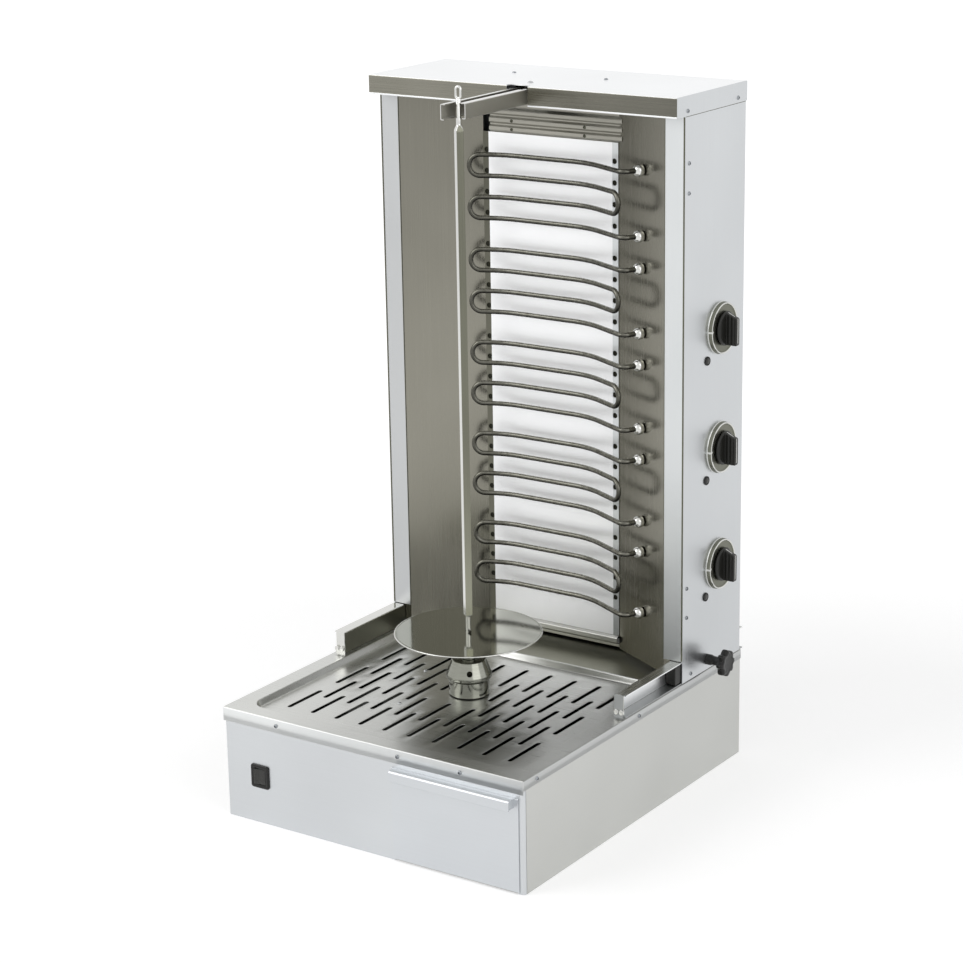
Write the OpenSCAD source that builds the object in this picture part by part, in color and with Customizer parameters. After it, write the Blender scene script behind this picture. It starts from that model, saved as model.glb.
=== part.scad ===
// Tabletop electric skewer grill: a low base with a slotted deck and a grease drawer, a heater tower that
// slides on two rails, and a turning spit held between a coupling hub and an arm under the tower's cover.
// Frame: +Z up, +X to the right as the user faces it, +Y to the back.
// Origin: the spit's turning axis, on the flat underside of the base.

/* [Base] */
// Width of the base over its deck
base_w = 580; // [560:5:700]
// Depth of the base
base_d = 670; // [660:5:800]
// Height of the deck's rim above the bench
base_h = 187; // [180:1:240]
// From the front of the base back to the spit's axis
spit_to_front = 280; // [270:5:300]
// Thickness of the sheet metal
sheet = 1.5; // [1:0.1:2]
// Height of the deck's skirt on the front
skirt_front = 23; // [18:1:23]
// Height of the deck's skirt on the sides
skirt_side = 16; // [14:1:20]
// Depth that the front panel's round corners wrap back
corner_wrap = 6; // [4:0.5:10]

/* [Deck recess] */
// Width of the pressed recess
recess_w = 518; // [440:2:520]
// Length of the pressed recess
recess_l = 425; // [400:1:440]
// Rim in front of the recess
recess_rim = 30; // [20:1:40]
// Corner radius of the recess
recess_r = 28; // [12:1:40]
// Depth of the recess
recess_deep = 10; // [6:0.5:14]

/* [Deck slots] */
// Length of one slot
slot_l = 88; // [60:1:90]
// Width of one slot
slot_w = 7.5; // [3:0.5:8]
// Spacing of the slots across the deck
slot_pitch = 47.5; // [40:0.5:48]
// Spacing of the rows from front to back
row_pitch = 64; // [60:1:66]
// From the front of the base to the first row
first_row = 74; // [64:1:80]
// Number of slots in the longer rows
long_row_slots = 10; // [6:1:10]
// Number of rows
slot_rows = 5; // [3:1:5]
// Plain radius left round the hub
hub_clear = 40; // [36:1:44]

/* [Spit] */
// Side of the square skewer
bar_side = 12; // [8:0.5:12]
// From the deck's rim up to the square part
bar_rise = 126; // [120:1:134]
// Height at which the square part ends
bar_top = 1108; // [900:2:1108]
// Diameter of the round ends of the skewer
stem_d = 8; // [7:0.5:8]
// Turn of the square about the spit's axis at rest
bar_turn = -36; // [-90:1:90]
// From the deck's rim up to the meat disc
disc_rise = 95; // [90:1:104]
// Radius of the meat disc
disc_r = 121; // [60:1:122]
// Thickness of the meat disc
disc_t = 2; // [1.5:0.5:3]
// How far the spit lifts to come out of the hub
spit_lift = 27; // [20:1:28]

/* [Tower] */
// From the spit's axis back to the tower's front face
tower_front = 191; // [185:1:215]
// Depth of the tower
tower_d = 192; // [170:1:200]
// Top of the cover above the bench
cover_top = 1148; // [1148:2:1300]
// Height of the cover's valance
valance_h = 32; // [28:1:34]
// How far the cover stands out in front of the tower
cover_out = 28; // [10:1:60]
// Width of the strip on each front edge
strip_w = 36; // [30:1:40]
// How far the tower slides toward the spit
tower_travel = 100; // [40:5:100]

/* [Reflector] */
// Half width where the angled panels meet the back
well_half = 130; // [125:1:150]
// Depth of the well behind the tower's front
well_deep = 66; // [50:1:66]
// Half width of the bright back panel
back_half = 119; // [110:1:120]
// From the deck's rim up to the bright back panel
back_rise = 35; // [28:1:43]
// Top of the bright back panel
back_top = 1054; // [1054:1:1060]

/* [Elements] */
// Number of heating elements
element_count = 5; // [2:1:5]
// Diameter of the heater tube
tube_d = 8; // [6:0.5:9]
// Spacing of the passes of one element
pass_pitch = 35; // [30:1:36]
// Spacing from one element to the next
element_pitch = 157.5; // [140:0.5:157.5]
// Height of the first pass of the top element
first_pass = 1021; // [960:1:1024]
// Distance of the legs from the angled panels
leg_off = 38; // [36:1:46]

/* [Controls] */
// Height of the topmost regulator knob
knob_high = 761; // [740:1:780]
// Spacing of the regulator knobs
knob_pitch = 199; // [160:1:200]
// From the tower's front face back to the knobs
knob_back = 118; // [112:1:124]
// Diameter of the ring behind each knob
bezel_d = 86; // [70:1:88]
// Diameter of each knob's skirt
knob_d = 56; // [44:1:60]

/* [Drawer] */
// Left edge of the drawer front
drawer_left = 45; // [45:1:80]
// Right edge of the drawer front
drawer_right = 280; // [250:1:281]
// Depth of the drawer's pan
pan_l = 400; // [300:5:430]
// Height of the drawer's pan
pan_h = 124; // [60:1:124]
// How far the drawer pulls out
drawer_travel = 300; // [200:10:300]

/* [Hidden] */
$fn = 48;

// Overrun of every cut
over = 1;
// Gap between pieces that move past each other
slip = 0.3;
// Radial play of a turning shaft in its bore
running = 0.05;
// Clearance of a fixed screw in its hole
screw_play = 0.2;
// Clearance of a moving shank in the panel that it passes through
hole_play = 2;
// Width of the seam between two panels
seam = 0.8;

// Faces of the base
front_y = -spit_to_front;
back_y = front_y + base_d;
base_half = base_w / 2;
shell_half = base_half - sheet;
panel_y = front_y + sheet;
wrap_y = panel_y + corner_wrap;
corner_r = corner_wrap;
floor_z = base_h - recess_deep;
recess_y = front_y + recess_rim;

// Faces of the tower
tower_back = tower_front + tower_d;
tower_half = base_half;
panel_in = tower_half - sheet;
roof_z = cover_top - sheet;
cover_front = tower_front - cover_out;
cover_bottom = cover_top - valance_h;
strip_in = tower_half - strip_w;
well_y = tower_front + well_deep;
tower_gap = 1.5;
side_bottom = base_h + tower_gap;
flange_w = 30;
fold_w = 12;
column_t = sheet;
liner_t = 1.2;
liner_lap = 4;
reflector_bottom = base_h + fold_w;
back_bottom = base_h + back_rise;
reflector_top = cover_bottom - liner_lap;
cover_half = tower_half + sheet;
cover_back = tower_back + sheet;
cover_d = cover_back - cover_front;
column_path = [[strip_in, tower_front], [panel_in, tower_front], [panel_in, tower_front + flange_w]];
liner_start = tower_front + column_t;
liner_path = [[strip_in + fold_w, liner_start], [strip_in, liner_start], [well_half, well_y],
              [back_half - liner_lap, well_y]];

// Rails and the shoes that run in them
rail_t = 2;
rail_h = 38;
rail_w = 21;
rail_out = panel_in - slip - screw_play;
rail_in = rail_out - rail_w;
rail_y = 18;
rail_back = 397;
rail_top = base_h + rail_h;
rail_plate_w = 17;
shoe_l = 104;
shoe_back = 7;
shoe_y = tower_front + shoe_back;
column_gap = 1;
column_bottom = rail_top + column_gap;
floor_gap = 2;
floor_lift = 4;
floor_step = 3;
floor_half = rail_in - floor_gap;
floor_bottom = base_h + floor_lift;
floor_rise = rail_top + floor_step;
floor_y = well_y + 2 * fold_w;
bolt_d = 9;
bolt_h = 3.5;
bolt_rise = 9;
bolt_inset = 5;
bolt_gap = 9.5;

// Screws
screw_d = 7;
screw_h = 2.2;
screw_shank = 4;
screw_l = 6;
small_screw_d = 5.6;

// Arm that steadies the top of the skewer
arm_w = 30;
arm_h = 25;
arm_t = 1.5;
arm_drop = 3.5;
arm_top = roof_z - arm_drop;
arm_bottom = arm_top - arm_h;
arm_tip = -27;
arm_slot = 13;
arm_web_slot = 18;
arm_travel = 60;
arm_rear_gap = 46.5;
arm_end = tower_back - sheet - arm_travel - arm_rear_gap;
arm_right_cut = -3;
arm_notch_half = 20;
arm_notch_deep = 12;
arm_slot_end = tower_travel + arm_web_slot;
guide_front = tower_front - cover_out / 4;
guide_l = 110;
guide_lug = 14;
lock_y = 202;
lock_d = 5;
lock_head_d = 10;
lock_head_h = 3;
lock_nut = 14;
lock_nut_h = 4;

// Hub, shaft and motor
hub_low_r = 33;
hub_low_h = 27;
hub_low_top = floor_z + hub_low_h;
hub_r = 37.5;
hub_band_h = 9;
hub_shoulder = hub_low_top + hub_band_h;
hub_chamfer = 4;
hub_top_r = 28;
hub_h = 61;
hub_top = floor_z + hub_h;
hub_gap = 1.5;
shaft_d = 12;
shaft_top = hub_top - spit_lift;
stem_bottom = shaft_top + hub_gap;
set_screw_rise = 18;
set_screw_z = hub_low_top + set_screw_rise;
set_screw_d = 8;
set_screw_angle = -54;
set_screw_sunk = 7;
set_screw_in = stem_d / 2 + running;
set_screw_l = hub_r - set_screw_in - set_screw_sunk;
gear_w = 92;
gear_d = 72;
gear_h = 45;
gear_x = -6;
gear_drop = 37;
gear_top = floor_z - gear_drop;
can_d = 62;
can_h = 60;
can_x = -18;
bracket_t = 3;
bracket_d = 90;
bracket_foot = 18;
bearing_deep = 24;
boss_d = 28;
boss_h = 8;

// Meat disc and the skewer's ends
disc_z = base_h + disc_rise;
bar_bottom = base_h + bar_rise;
collar_d = 22;
pin_d = 4;
pin_l = 20;
pin_z = disc_z + disc_t + pin_d / 2;
taper_h = 8;
rod_top = 1149;
eye_w = 12;
eye_l = 22;
eye_wire = 4;

// Deck screws, and the two that hold the drip guide
front_screw_shares = [-0.3125, 0.098, 0.3];
skirt_screw_shares = [0.055, 0.5, 0.93];
panel_screw_shares = [0.9077, 0.8667, 0.304, 0.2605];
flange_screw_shares = [0.15, 0.867];
panel_screw_back = 13;
foot_screw_back = 28;
foot_screw_rise = 11;
flange_screw_low = 24;
top_screw_x = 88;
top_screw_back = 97;
guide_screw_shares = [[-0.207, 0.067], [-0.122, -0.146]];
standoff_d = 10;

// Drip guide under the slots
guide_drop = 22;
guide_left = recess_w / 2 - 3 * sheet;
guide_right = drawer_left + 11;
guide_flange = 24;
guide_hole_d = 34;

// Drawer
pan_left = drawer_left + 9;
pan_right = drawer_right - 9;
pan_z = 10;
pan_t = 1.2;
drawer_bottom = 3;
drawer_gap = 8;
drawer_top = base_h - skirt_front - drawer_gap;
drawer_t = 1.5;
drawer_face = panel_y - slip - drawer_t;
lip_out = 15;
lip_drop = 18;
lip_fold = 3;
lip_left = drawer_left + 5;
lip_right = drawer_right - 8;
drawer_lap = 6;
drawer_hole_top = drawer_top - drawer_lap;
drawer_hole_play = 3;
runner_t = 1.5;
runner_h = 40;
runner_flange = 12;
runner_keep = 80;
runner_l = drawer_travel + runner_keep;

// Switch, gland and terminals
switch_in = 72;
switch_x = switch_in - base_half;
switch_z = 81;
switch_w = 36;
switch_h = 40;
switch_out = 3;
switch_rim = 4;
switch_deep = 26;
rocker_w = 22;
rocker_h = 26;
rocker_out = 3;
rocker_deep = 4;
rocker_cavity = 15;
rocker_tilt = 7;
gland_in = 90;
gland_x = gland_in - base_half;
gland_z = 60;
gland_d = 22;
gland_l = 18;
gland_bore = 9;
terminal_w = 70;
terminal_d = 26;
terminal_h = 24;
terminal_in = 20;
terminal_y = back_y - 2 * sheet - terminal_in;

// Regulators, lamps and the clamp
regulator_w = 48;
regulator_deep = 34;
spindle_d = 6;
spindle_in = 22;
bezel_t = 8;
knob_t = 4;
grip_w = 12;
grip_l = 54;
grip_out = 18.5;
lamp_d = 15;
lamp_back = 74;
lamp_low = 46;
lamp_out = 3;
lamp_deep = 24;
clamp_y = 273;
clamp_rise = 19;
clamp_z = base_h + clamp_rise;
clamp_d = 8;
clamp_r = 23;
clamp_dip = 4;
clamp_lobes = 8;
clamp_t = 13;
clamp_out = 41;
clamp_neck = 9;

// Header, lip and cross ridges
header_half = back_half - liner_lap - seam;
ridge_deep = 5;
ridge_h = 14;
ridge_slope = 4;
ridges = 3;
header_screw_x = 70;
lip_rise = 19;
lip_bottom = base_h + lip_rise;

// Element path, seen from above
run_off = 19;
bend_r = 130;
stub_bend_r = 12;
left_leg_l = 34;
right_leg_l = 76;
stub_along = 73.5;
stub_past = 8;
bend_swell = 0.12;
bend_d = tube_d + 2 * bend_swell;
bend_sunk = 0.5;
ferrule_d = 20;
ferrule_base = 2;
ferrule_base_d = 15;
strip_hole_in = 4;
strip_hole_rise = 3;
strip_hole_d = 9;
vent_shares = [0.25, 0.9];
vent_count = 12;
vent_pitch = 22;
vent_w = 6;
vent_l = 60;

// Plan of the heater tube: a back run, and legs beside the angled panels
well_turn = atan2(well_y - liner_start, strip_in - well_half);
leg_dir = [cos(well_turn), -sin(well_turn)];
panel_out = [sin(well_turn), cos(well_turn)];
well_corner = [well_half, well_y];
leg_base = well_corner - leg_off * panel_out;
run_y = well_y - run_off;
run_corner = leg_base + leg_dir * (leg_base.y - run_y) / sin(well_turn);
bend_cut = bend_r * tan(well_turn / 2);
back_x = run_corner.x - bend_cut;
leg_start = run_corner + bend_cut * leg_dir;
right_leg_end = run_corner + right_leg_l * leg_dir;
left_leg_end = mirrored(run_corner + left_leg_l * leg_dir);
stub_point = leg_base + stub_along * leg_dir;
stub_start = stub_point - stub_bend_r * leg_dir;
stub_centre = stub_start + stub_bend_r * panel_out;
stub_turned = stub_point + stub_bend_r * panel_out;
stub_foot = stub_point + (leg_off + stub_past) * panel_out;
ferrule_foot = well_corner + stub_along * leg_dir;

// Vector helpers
function mirrored(p) = [-p.x, p.y];
function unit(v) = v / norm(v);
function left_of(v) = [-v.y, v.x];
function mitre(a, b, c, t) =
    let (m = left_of(unit(b - a)), n = left_of(unit(c - b)))
    b + t * (m + n) / (1 + m * n);
function side_of(path, t) =
    let (last = len(path) - 1)
    [for (i = [0:last])
        i == 0 ? path[0] + t * left_of(unit(path[1] - path[0]))
        : i == last ? path[last] + t * left_of(unit(path[last] - path[last - 1]))
        : mitre(path[i - 1], path[i], path[i + 1], t)];
function backward(list) = [for (i = [len(list) - 1:-1:0]) list[i]];

// A strip of sheet metal folded along a path, seen end on
module folded(path, t, length)
    linear_extrude(length) polygon(concat(path, backward(side_of(path, t))));

// The same strip standing on its edge along X, its path given as [y, z]
module folded_along_x(path, t, x_from, x_to)
    translate([x_from, 0, 0]) rotate([90, 0, 90]) folded(path, t, x_to - x_from);

// The same strip running along Y, its path given as [x, z]
module folded_along_y(path, t, y_from, y_to)
    translate([0, y_to, 0]) rotate([90, 0, 0]) folded(path, t, y_to - y_from);

// A box between two corners
module block(low, high) translate(low) cube(high - low);

module both_sides() {
    children();
    mirror([1, 0, 0]) children();
}

module rounded_rect(w, l, r) {
    square([w - 2 * r, l], center = true);
    square([w, l - 2 * r], center = true);
    for (x = [-1, 1])
        for (y = [-1, 1])
            translate([x * (w / 2 - r), y * (l / 2 - r)]) circle(r);
}

// A screw whose round head stands along +Z from the face it is driven into
module dome_screw(d, h, shank, shank_l) {
    rotate_extrude()
        intersection() {
            square([d / 2, h]);
            translate([0, h - (d * d / 4 + h * h) / (2 * h)]) circle((d * d / 4 + h * h) / (2 * h));
        }
    translate([0, 0, -shank_l]) cylinder(d = shank, h = shank_l);
}

// The hole that such a screw passes through
module screw_hole(shank, depth)
    translate([0, 0, -depth]) cylinder(d = shank + 2 * screw_play, h = depth + over);

// Turns what is drawn along +Z so that it points out of the front, or out of a side
module facing_front() rotate([90, 0, 0]) children();
module facing_right() rotate([0, 90, 0]) children();
module facing_back() rotate([-90, 0, 0]) children();

// Places of the screws in the deck's skirt
module at_front_screws()
    for (share = front_screw_shares)
        translate([share * base_w, front_y, base_h - skirt_front / 2]) facing_front() children();
module at_side_screws()
    for (share = skirt_screw_shares)
        for (side = [-1, 1])
            translate([side * base_half, front_y + share * base_d, base_h - skirt_side / 2])
                rotate([0, side * 90, 0]) children();
module at_guide_screws(z)
    for (share = guide_screw_shares) translate([share.x * base_w, share.y * base_d, z]) children();

module base_shell() color("gainsboro")
    difference() {
        block([-shell_half, wrap_y + seam, 0], [shell_half, back_y - sheet, base_h - sheet]);
        block([sheet - shell_half, wrap_y, -over], [shell_half - sheet, back_y - 2 * sheet, base_h]);
        at_side_screws() screw_hole(screw_shank, screw_l);
        translate([gland_x, back_y, gland_z]) facing_back() screw_hole(gland_d, gland_l);
    }

// Plan of the front panel: the front of a round-cornered ring
module front_ring()
    intersection() {
        translate([0, panel_y + base_d / 2])
            difference() {
                rounded_rect(2 * shell_half, base_d, corner_r);
                rounded_rect(2 * (shell_half - sheet), base_d - 2 * sheet, corner_r - sheet);
            }
        translate([-base_half, front_y]) square([base_w, sheet + corner_wrap]);
    }

module front_panel() color("gainsboro")
    difference() {
        linear_extrude(base_h - sheet) front_ring();
        block([drawer_left + drawer_hole_play, front_y, -over],
              [drawer_right - drawer_hole_play, wrap_y, drawer_hole_top]);
        translate([switch_x, 0, switch_z])
            block([switch_rim - switch_w / 2, front_y, switch_rim - switch_h / 2],
                  [switch_w / 2 - switch_rim, wrap_y, switch_h / 2 - switch_rim]);
        at_front_screws() screw_hole(screw_shank, screw_l);
    }

module bottom_plate() color("silver")
    translate([0, front_y + base_d / 2])
        linear_extrude(sheet) rounded_rect(2 * (shell_half - sheet), base_d - 4 * sheet, corner_r);

// Where a row's slots start and end, and their places across it
function row_start(row) = front_y + first_row + row * row_pitch;
function row_count(row) = long_row_slots - row % 2;
function slot_x(row, i) = (i - (row_count(row) - 1) / 2) * slot_pitch;
function near_hub(x, y) = abs(x) < hub_clear && y < hub_clear && y + slot_l > -hub_clear;

module slot(x, y) {
    translate([x - slot_w / 2, y + slot_w / 2]) square([slot_w, slot_l - slot_w]);
    translate([x, y + slot_w / 2]) circle(d = slot_w, $fn = 16);
    translate([x, y + slot_l - slot_w / 2]) circle(d = slot_w, $fn = 16);
}

module deck_slots()
    for (row = [0:slot_rows - 1])
        for (i = [0:row_count(row) - 1])
            if (!near_hub(slot_x(row, i), row_start(row)))
                slot(slot_x(row, i), row_start(row));

module recess_outline(grow)
    translate([0, recess_y + recess_l / 2])
        rounded_rect(recess_w + 2 * grow, recess_l + 2 * grow, recess_r + grow);

module top_deck() color("silver")
    difference() {
        union() {
            block([-base_half, front_y, base_h - sheet], [base_half, back_y, base_h]);
            block([-base_half, front_y, base_h - skirt_front], [base_half, panel_y, base_h]);
            for (side = [-1, 1])
                block([side < 0 ? -base_half : shell_half, front_y, base_h - skirt_side],
                      [side < 0 ? -shell_half : base_half, back_y, base_h]);
            block([-base_half, back_y - sheet, base_h - skirt_side], [base_half, back_y, base_h]);
            translate([0, 0, floor_z - sheet]) linear_extrude(recess_deep + sheet / 2) recess_outline(sheet);
        }
        translate([0, 0, floor_z]) linear_extrude(recess_deep + over) recess_outline(0);
        translate([0, 0, floor_z - sheet - over]) linear_extrude(sheet + 2 * over) deck_slots();
        translate([0, 0, floor_z - sheet - over]) cylinder(d = shaft_d + 2 * hub_gap, h = sheet + 2 * over);
        at_front_screws() screw_hole(screw_shank, screw_l);
        at_side_screws() screw_hole(screw_shank, screw_l);
        at_guide_screws(floor_z) screw_hole(screw_shank, screw_l);
    }

module deck_screws() color("lightgray") {
    at_front_screws() dome_screw(screw_d, screw_h, screw_shank, screw_l);
    at_side_screws() dome_screw(screw_d, screw_h, screw_shank, screw_l);
}

// Height of the drip guide's upper face at a place across the base
function guide_z(x) =
    floor_z - sheet - guide_drop * max(0, x + guide_left - guide_flange) / (guide_left + guide_right - guide_flange);

module drip_guide() color("silver") {
    top = floor_z - sheet;
    difference() {
        folded_along_y([[-guide_left, top], [guide_flange - guide_left, top], [guide_right, top - guide_drop]],
                       -sheet, recess_y, recess_y + recess_l);
        translate([0, 0, top - guide_drop - sheet]) cylinder(d = guide_hole_d, h = guide_drop + 2 * sheet);
    }
    for (share = guide_screw_shares) {
        low = guide_z(share.x * base_w + standoff_d / 2) - sheet / 2;
        translate([share.x * base_w, share.y * base_d, low]) difference() {
            cylinder(d = standoff_d, h = top - low);
            cylinder(d = screw_shank + 2 * screw_play, h = top - low + over);
        }
    }
}

module guide_screws() color("lightgray")
    at_guide_screws(floor_z) dome_screw(screw_d, screw_h, screw_shank, screw_l);

module drawer_runners() color("silver") {
    flange_z = pan_z - slip;
    left = pan_left - slip;
    right = pan_right + slip;
    y_from = panel_y + 2 * sheet;
    folded_along_y([[left - runner_t, runner_h], [left - runner_t, sheet], [left + runner_flange, sheet]],
                   runner_t, y_from, y_from + runner_l);
    folded_along_y([[right - runner_flange, sheet], [right + runner_t, sheet], [right + runner_t, runner_h]],
                   runner_t, y_from, y_from + runner_l);
    block([left, y_from, sheet + runner_t], [left + runner_flange, y_from + runner_l, flange_z]);
    block([right - runner_flange, y_from, sheet + runner_t], [right, y_from + runner_l, flange_z]);
}

module motor_bracket() color("darkgray") {
    top = gear_top - gear_h;
    half = gear_w / 2;
    difference() {
        folded_along_x([[-bracket_d / 2 - bracket_foot, sheet + bracket_t], [-bracket_d / 2, sheet + bracket_t],
                        [-bracket_d / 2, top], [bracket_d / 2, top],
                        [bracket_d / 2, sheet + bracket_t], [bracket_d / 2 + bracket_foot, sheet + bracket_t]],
                       -bracket_t, gear_x - half, gear_x + half);
        translate([can_x, 0, top - bracket_t - over]) cylinder(d = can_d + 2 * slip, h = bracket_t + 2 * over);
    }
}

module gear_motor() color("dimgray")
    difference() {
        union() {
            block([gear_x - gear_w / 2, -gear_d / 2, gear_top - gear_h], [gear_x + gear_w / 2, gear_d / 2, gear_top]);
            translate([can_x, 0, gear_top - gear_h - can_h]) cylinder(d = can_d, h = can_h + over);
            translate([0, 0, gear_top]) cylinder(d = boss_d, h = boss_h);
        }
        translate([0, 0, gear_top - bearing_deep + boss_h])
            cylinder(d = shaft_d + 2 * running, h = bearing_deep + over);
    }

// Right rail: a channel open toward the outside, closed by a plate at its front end
module rail_right() color("lightgray")
    difference() {
        union() {
            folded_along_y([[rail_out, rail_top], [rail_in, rail_top], [rail_in, base_h], [rail_out, base_h]],
                           rail_t, rail_y, rail_back);
            block([rail_in, rail_y - rail_t, base_h], [rail_in + rail_plate_w, rail_y, rail_top]);
        }
        at_rail_bolts() screw_hole(screw_shank, screw_l);
    }

module rail_left() color("lightgray") mirror([1, 0, 0]) rail_right();

module at_rail_bolts()
    for (i = [0, 1])
        translate([rail_in + bolt_inset + i * bolt_gap, rail_y - rail_t, base_h + bolt_rise]) facing_front() children();

module rail_bolts() color("silver")
    both_sides() at_rail_bolts() {
        cylinder(d = bolt_d, h = bolt_h, $fn = 6);
        translate([0, 0, -screw_l]) cylinder(d = screw_shank, h = screw_l);
    }

module switch_frame() color("dimgray")
    translate([switch_x, panel_y, switch_z]) facing_front() difference() {
        union() {
            linear_extrude(switch_out) rounded_rect(switch_w, switch_h, switch_rim);
            translate([0, 0, -switch_deep])
                linear_extrude(switch_deep)
                    square([switch_w - 2 * switch_rim - 2 * screw_play, switch_h - 2 * switch_rim - 2 * screw_play],
                           center = true);
        }
        translate([0, 0, switch_out - rocker_cavity])
            linear_extrude(rocker_cavity + over)
                square([rocker_w + 2 * slip, rocker_h + 2 * slip], center = true);
    }

// The rocker swings about an upright axle, its two faces meeting at a shallow angle
module rocker_switch() color("black") {
    face = rocker_w / 2;
    rise = face * tan(rocker_tilt);
    translate([switch_x, panel_y - switch_out + rocker_out, switch_z - rocker_h / 2])
        linear_extrude(rocker_h) rotate(rocker_tilt)
            intersection() {
                circle(face);
                polygon([[-face, -rocker_out - rise], [0, -rocker_out], [face, -rocker_out - rise],
                         [face, rocker_deep], [-face, rocker_deep]]);
            }
}

module terminal_block() color("ivory")
    block([gland_x - terminal_w / 2, terminal_y - terminal_d, sheet],
          [gland_x + terminal_w / 2, terminal_y, sheet + terminal_h]);

module cable_gland() color("black")
    translate([gland_x, back_y - sheet, gland_z]) facing_back() difference() {
        union() {
            translate([0, 0, -gland_l / 2]) cylinder(d = gland_d, h = gland_l / 2);
            cylinder(d = gland_d + 2 * switch_rim, h = gland_l / 3, $fn = 6);
            cylinder(d = gland_d - switch_rim, h = gland_l);
        }
        translate([0, 0, -gland_l / 2 - over]) cylinder(d = gland_bore, h = 2 * gland_l);
    }

module motor_shaft() color("gray")
    translate([0, 0, gear_top + boss_h - bearing_deep + slip])
        cylinder(d = shaft_d, h = shaft_top - gear_top - boss_h + bearing_deep - slip);

module coupling_hub() color("silver")
    difference() {
        rotate_extrude()
            polygon([[0, floor_z + hub_gap], [hub_low_r, floor_z + hub_gap], [hub_low_r, hub_low_top],
                     [hub_r - hub_chamfer, hub_low_top], [hub_r, hub_low_top + hub_chamfer], [hub_r, hub_shoulder],
                     [hub_top_r, hub_top], [0, hub_top]]);
        translate([0, 0, floor_z]) cylinder(d = shaft_d, h = shaft_top - floor_z);
        translate([0, 0, shaft_top - over]) cylinder(d = stem_d + 2 * running, h = hub_top - shaft_top + 2 * over);
        at_set_screws() translate([0, 0, -running]) cylinder(d = set_screw_d, h = hub_r);
    }

module at_set_screws()
    for (turn = [0, 90])
        rotate(set_screw_angle - turn) translate([set_screw_in, 0, set_screw_z]) rotate([0, 90, 0]) children();

module hub_set_screws() color("dimgray")
    at_set_screws() difference() {
        cylinder(d = set_screw_d, h = set_screw_l);
        translate([0, 0, set_screw_l - set_screw_d / 2]) cylinder(d = set_screw_d / 2, h = set_screw_d, $fn = 6);
    }

module meat_disc() color("lightgray")
    translate([0, 0, disc_z]) difference() {
        cylinder(r = disc_r, h = disc_t, $fn = 96);
        translate([0, 0, -over]) cylinder(d = stem_d, h = disc_t + 2 * over);
    }

module disc_collar() color("gray")
    translate([0, 0, hub_top + slip]) difference() {
        cylinder(d = collar_d, h = disc_z - hub_top - slip);
        translate([0, 0, -over]) cylinder(d = stem_d, h = disc_z - hub_top + over);
    }

// The skewer: a square bar between a round stem and a round rod that ends in an eye
module spit_bar() color("silver")
    difference() {
        union() {
            translate([0, 0, stem_bottom]) cylinder(d = stem_d, h = bar_bottom - stem_bottom + over);
            intersection() {
                rotate(bar_turn) translate([-bar_side / 2, -bar_side / 2, bar_bottom])
                    cube([bar_side, bar_side, bar_top - bar_bottom]);
                union() {
                    translate([0, 0, bar_bottom]) cylinder(r = bar_side, h = bar_top - taper_h - bar_bottom);
                    translate([0, 0, bar_top - taper_h]) cylinder(r1 = bar_side, r2 = stem_d / 2, h = taper_h);
                }
            }
        }
        rotate(bar_turn) translate([0, 0, pin_z]) rotate([0, 90, 0])
            cylinder(d = pin_d, h = pin_l, center = true);
    }

// The rod that the arm steadies, with the ring that lifts the skewer
module spit_eye() color("silver") {
    translate([0, 0, bar_top]) cylinder(d = stem_d, h = rod_top - bar_top);
    translate([0, 0, rod_top]) rotate(bar_turn + 45) rotate([90, 0, 0]) eye();
}

// A long ring of wire, standing on the origin
module eye() {
    r = (eye_w - eye_wire) / 2;
    rise = eye_l - eye_w;
    translate([0, r, 0]) {
        for (side = [-1, 1])
            translate([side * r, -bend_sunk, 0]) rotate([-90, 0, 0])
                cylinder(d = eye_wire, h = rise + 2 * bend_sunk, $fn = 24);
        for (end = [[0, 180], [rise, 0]])
            translate([0, end[0], 0]) rotate(end[1])
                rotate_extrude(angle = 180) translate([r, 0]) circle(d = eye_wire + 2 * bend_swell, $fn = 24);
    }
}

module stop_pin() color("gray")
    rotate(bar_turn) translate([0, 0, pin_z]) rotate([0, 90, 0])
        cylinder(d = pin_d, h = pin_l, center = true);

// Screws in the tower's side panels: four into the column, one into the shoe
module at_panel_screws() {
    for (side = [-1, 1]) {
        for (share = panel_screw_shares)
            translate([side * tower_half, tower_front + panel_screw_back, share * cover_top])
                rotate([0, side * 90, 0]) children();
        translate([side * tower_half, tower_front + foot_screw_back, base_h + foot_screw_rise])
            rotate([0, side * 90, 0]) children();
    }
}

// Screws through the cover's side flanges
module at_flange_screws()
    for (share = flange_screw_shares)
        for (side = [-1, 1])
            translate([side * cover_half, cover_front + share * cover_d, cover_top - flange_screw_low])
                rotate([0, side * 90, 0]) children();

// Screws in the top of the cover
module at_top_screws()
    for (side = [-1, 1])
        translate([side * top_screw_x, tower_front + top_screw_back, cover_top]) children();

module side_panel()
    difference() {
        block([panel_in, tower_front, side_bottom], [tower_half, tower_back, roof_z]);
        at_panel_screws() screw_hole(screw_shank, screw_l);
        at_flange_screws() screw_hole(screw_shank, screw_l);
    }

module side_panel_left() color("gainsboro") mirror([1, 0, 0]) side_panel();

module side_panel_right() color("gainsboro")
    difference() {
        side_panel();
        at_knobs() translate([0, 0, -screw_l]) cylinder(d = spindle_d + hole_play, h = screw_l + over);
        at_lamps() translate([0, 0, -screw_l]) cylinder(d = lamp_d - 2 * lamp_out, h = screw_l + over);
        at_clamp() translate([0, 0, -screw_l]) cylinder(d = clamp_d + hole_play, h = screw_l + over);
    }

module at_knobs()
    for (i = [0:2]) at_knob(i) children();
module at_knob(i)
    translate([tower_half, tower_front + knob_back, knob_high - i * knob_pitch]) facing_right() children();
module at_lamps()
    for (i = [0:2])
        translate([tower_half, tower_front + lamp_back, knob_high - lamp_low - i * knob_pitch])
            facing_right() children();
module at_clamp() translate([tower_half, clamp_y, clamp_z]) facing_right() children();

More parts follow.
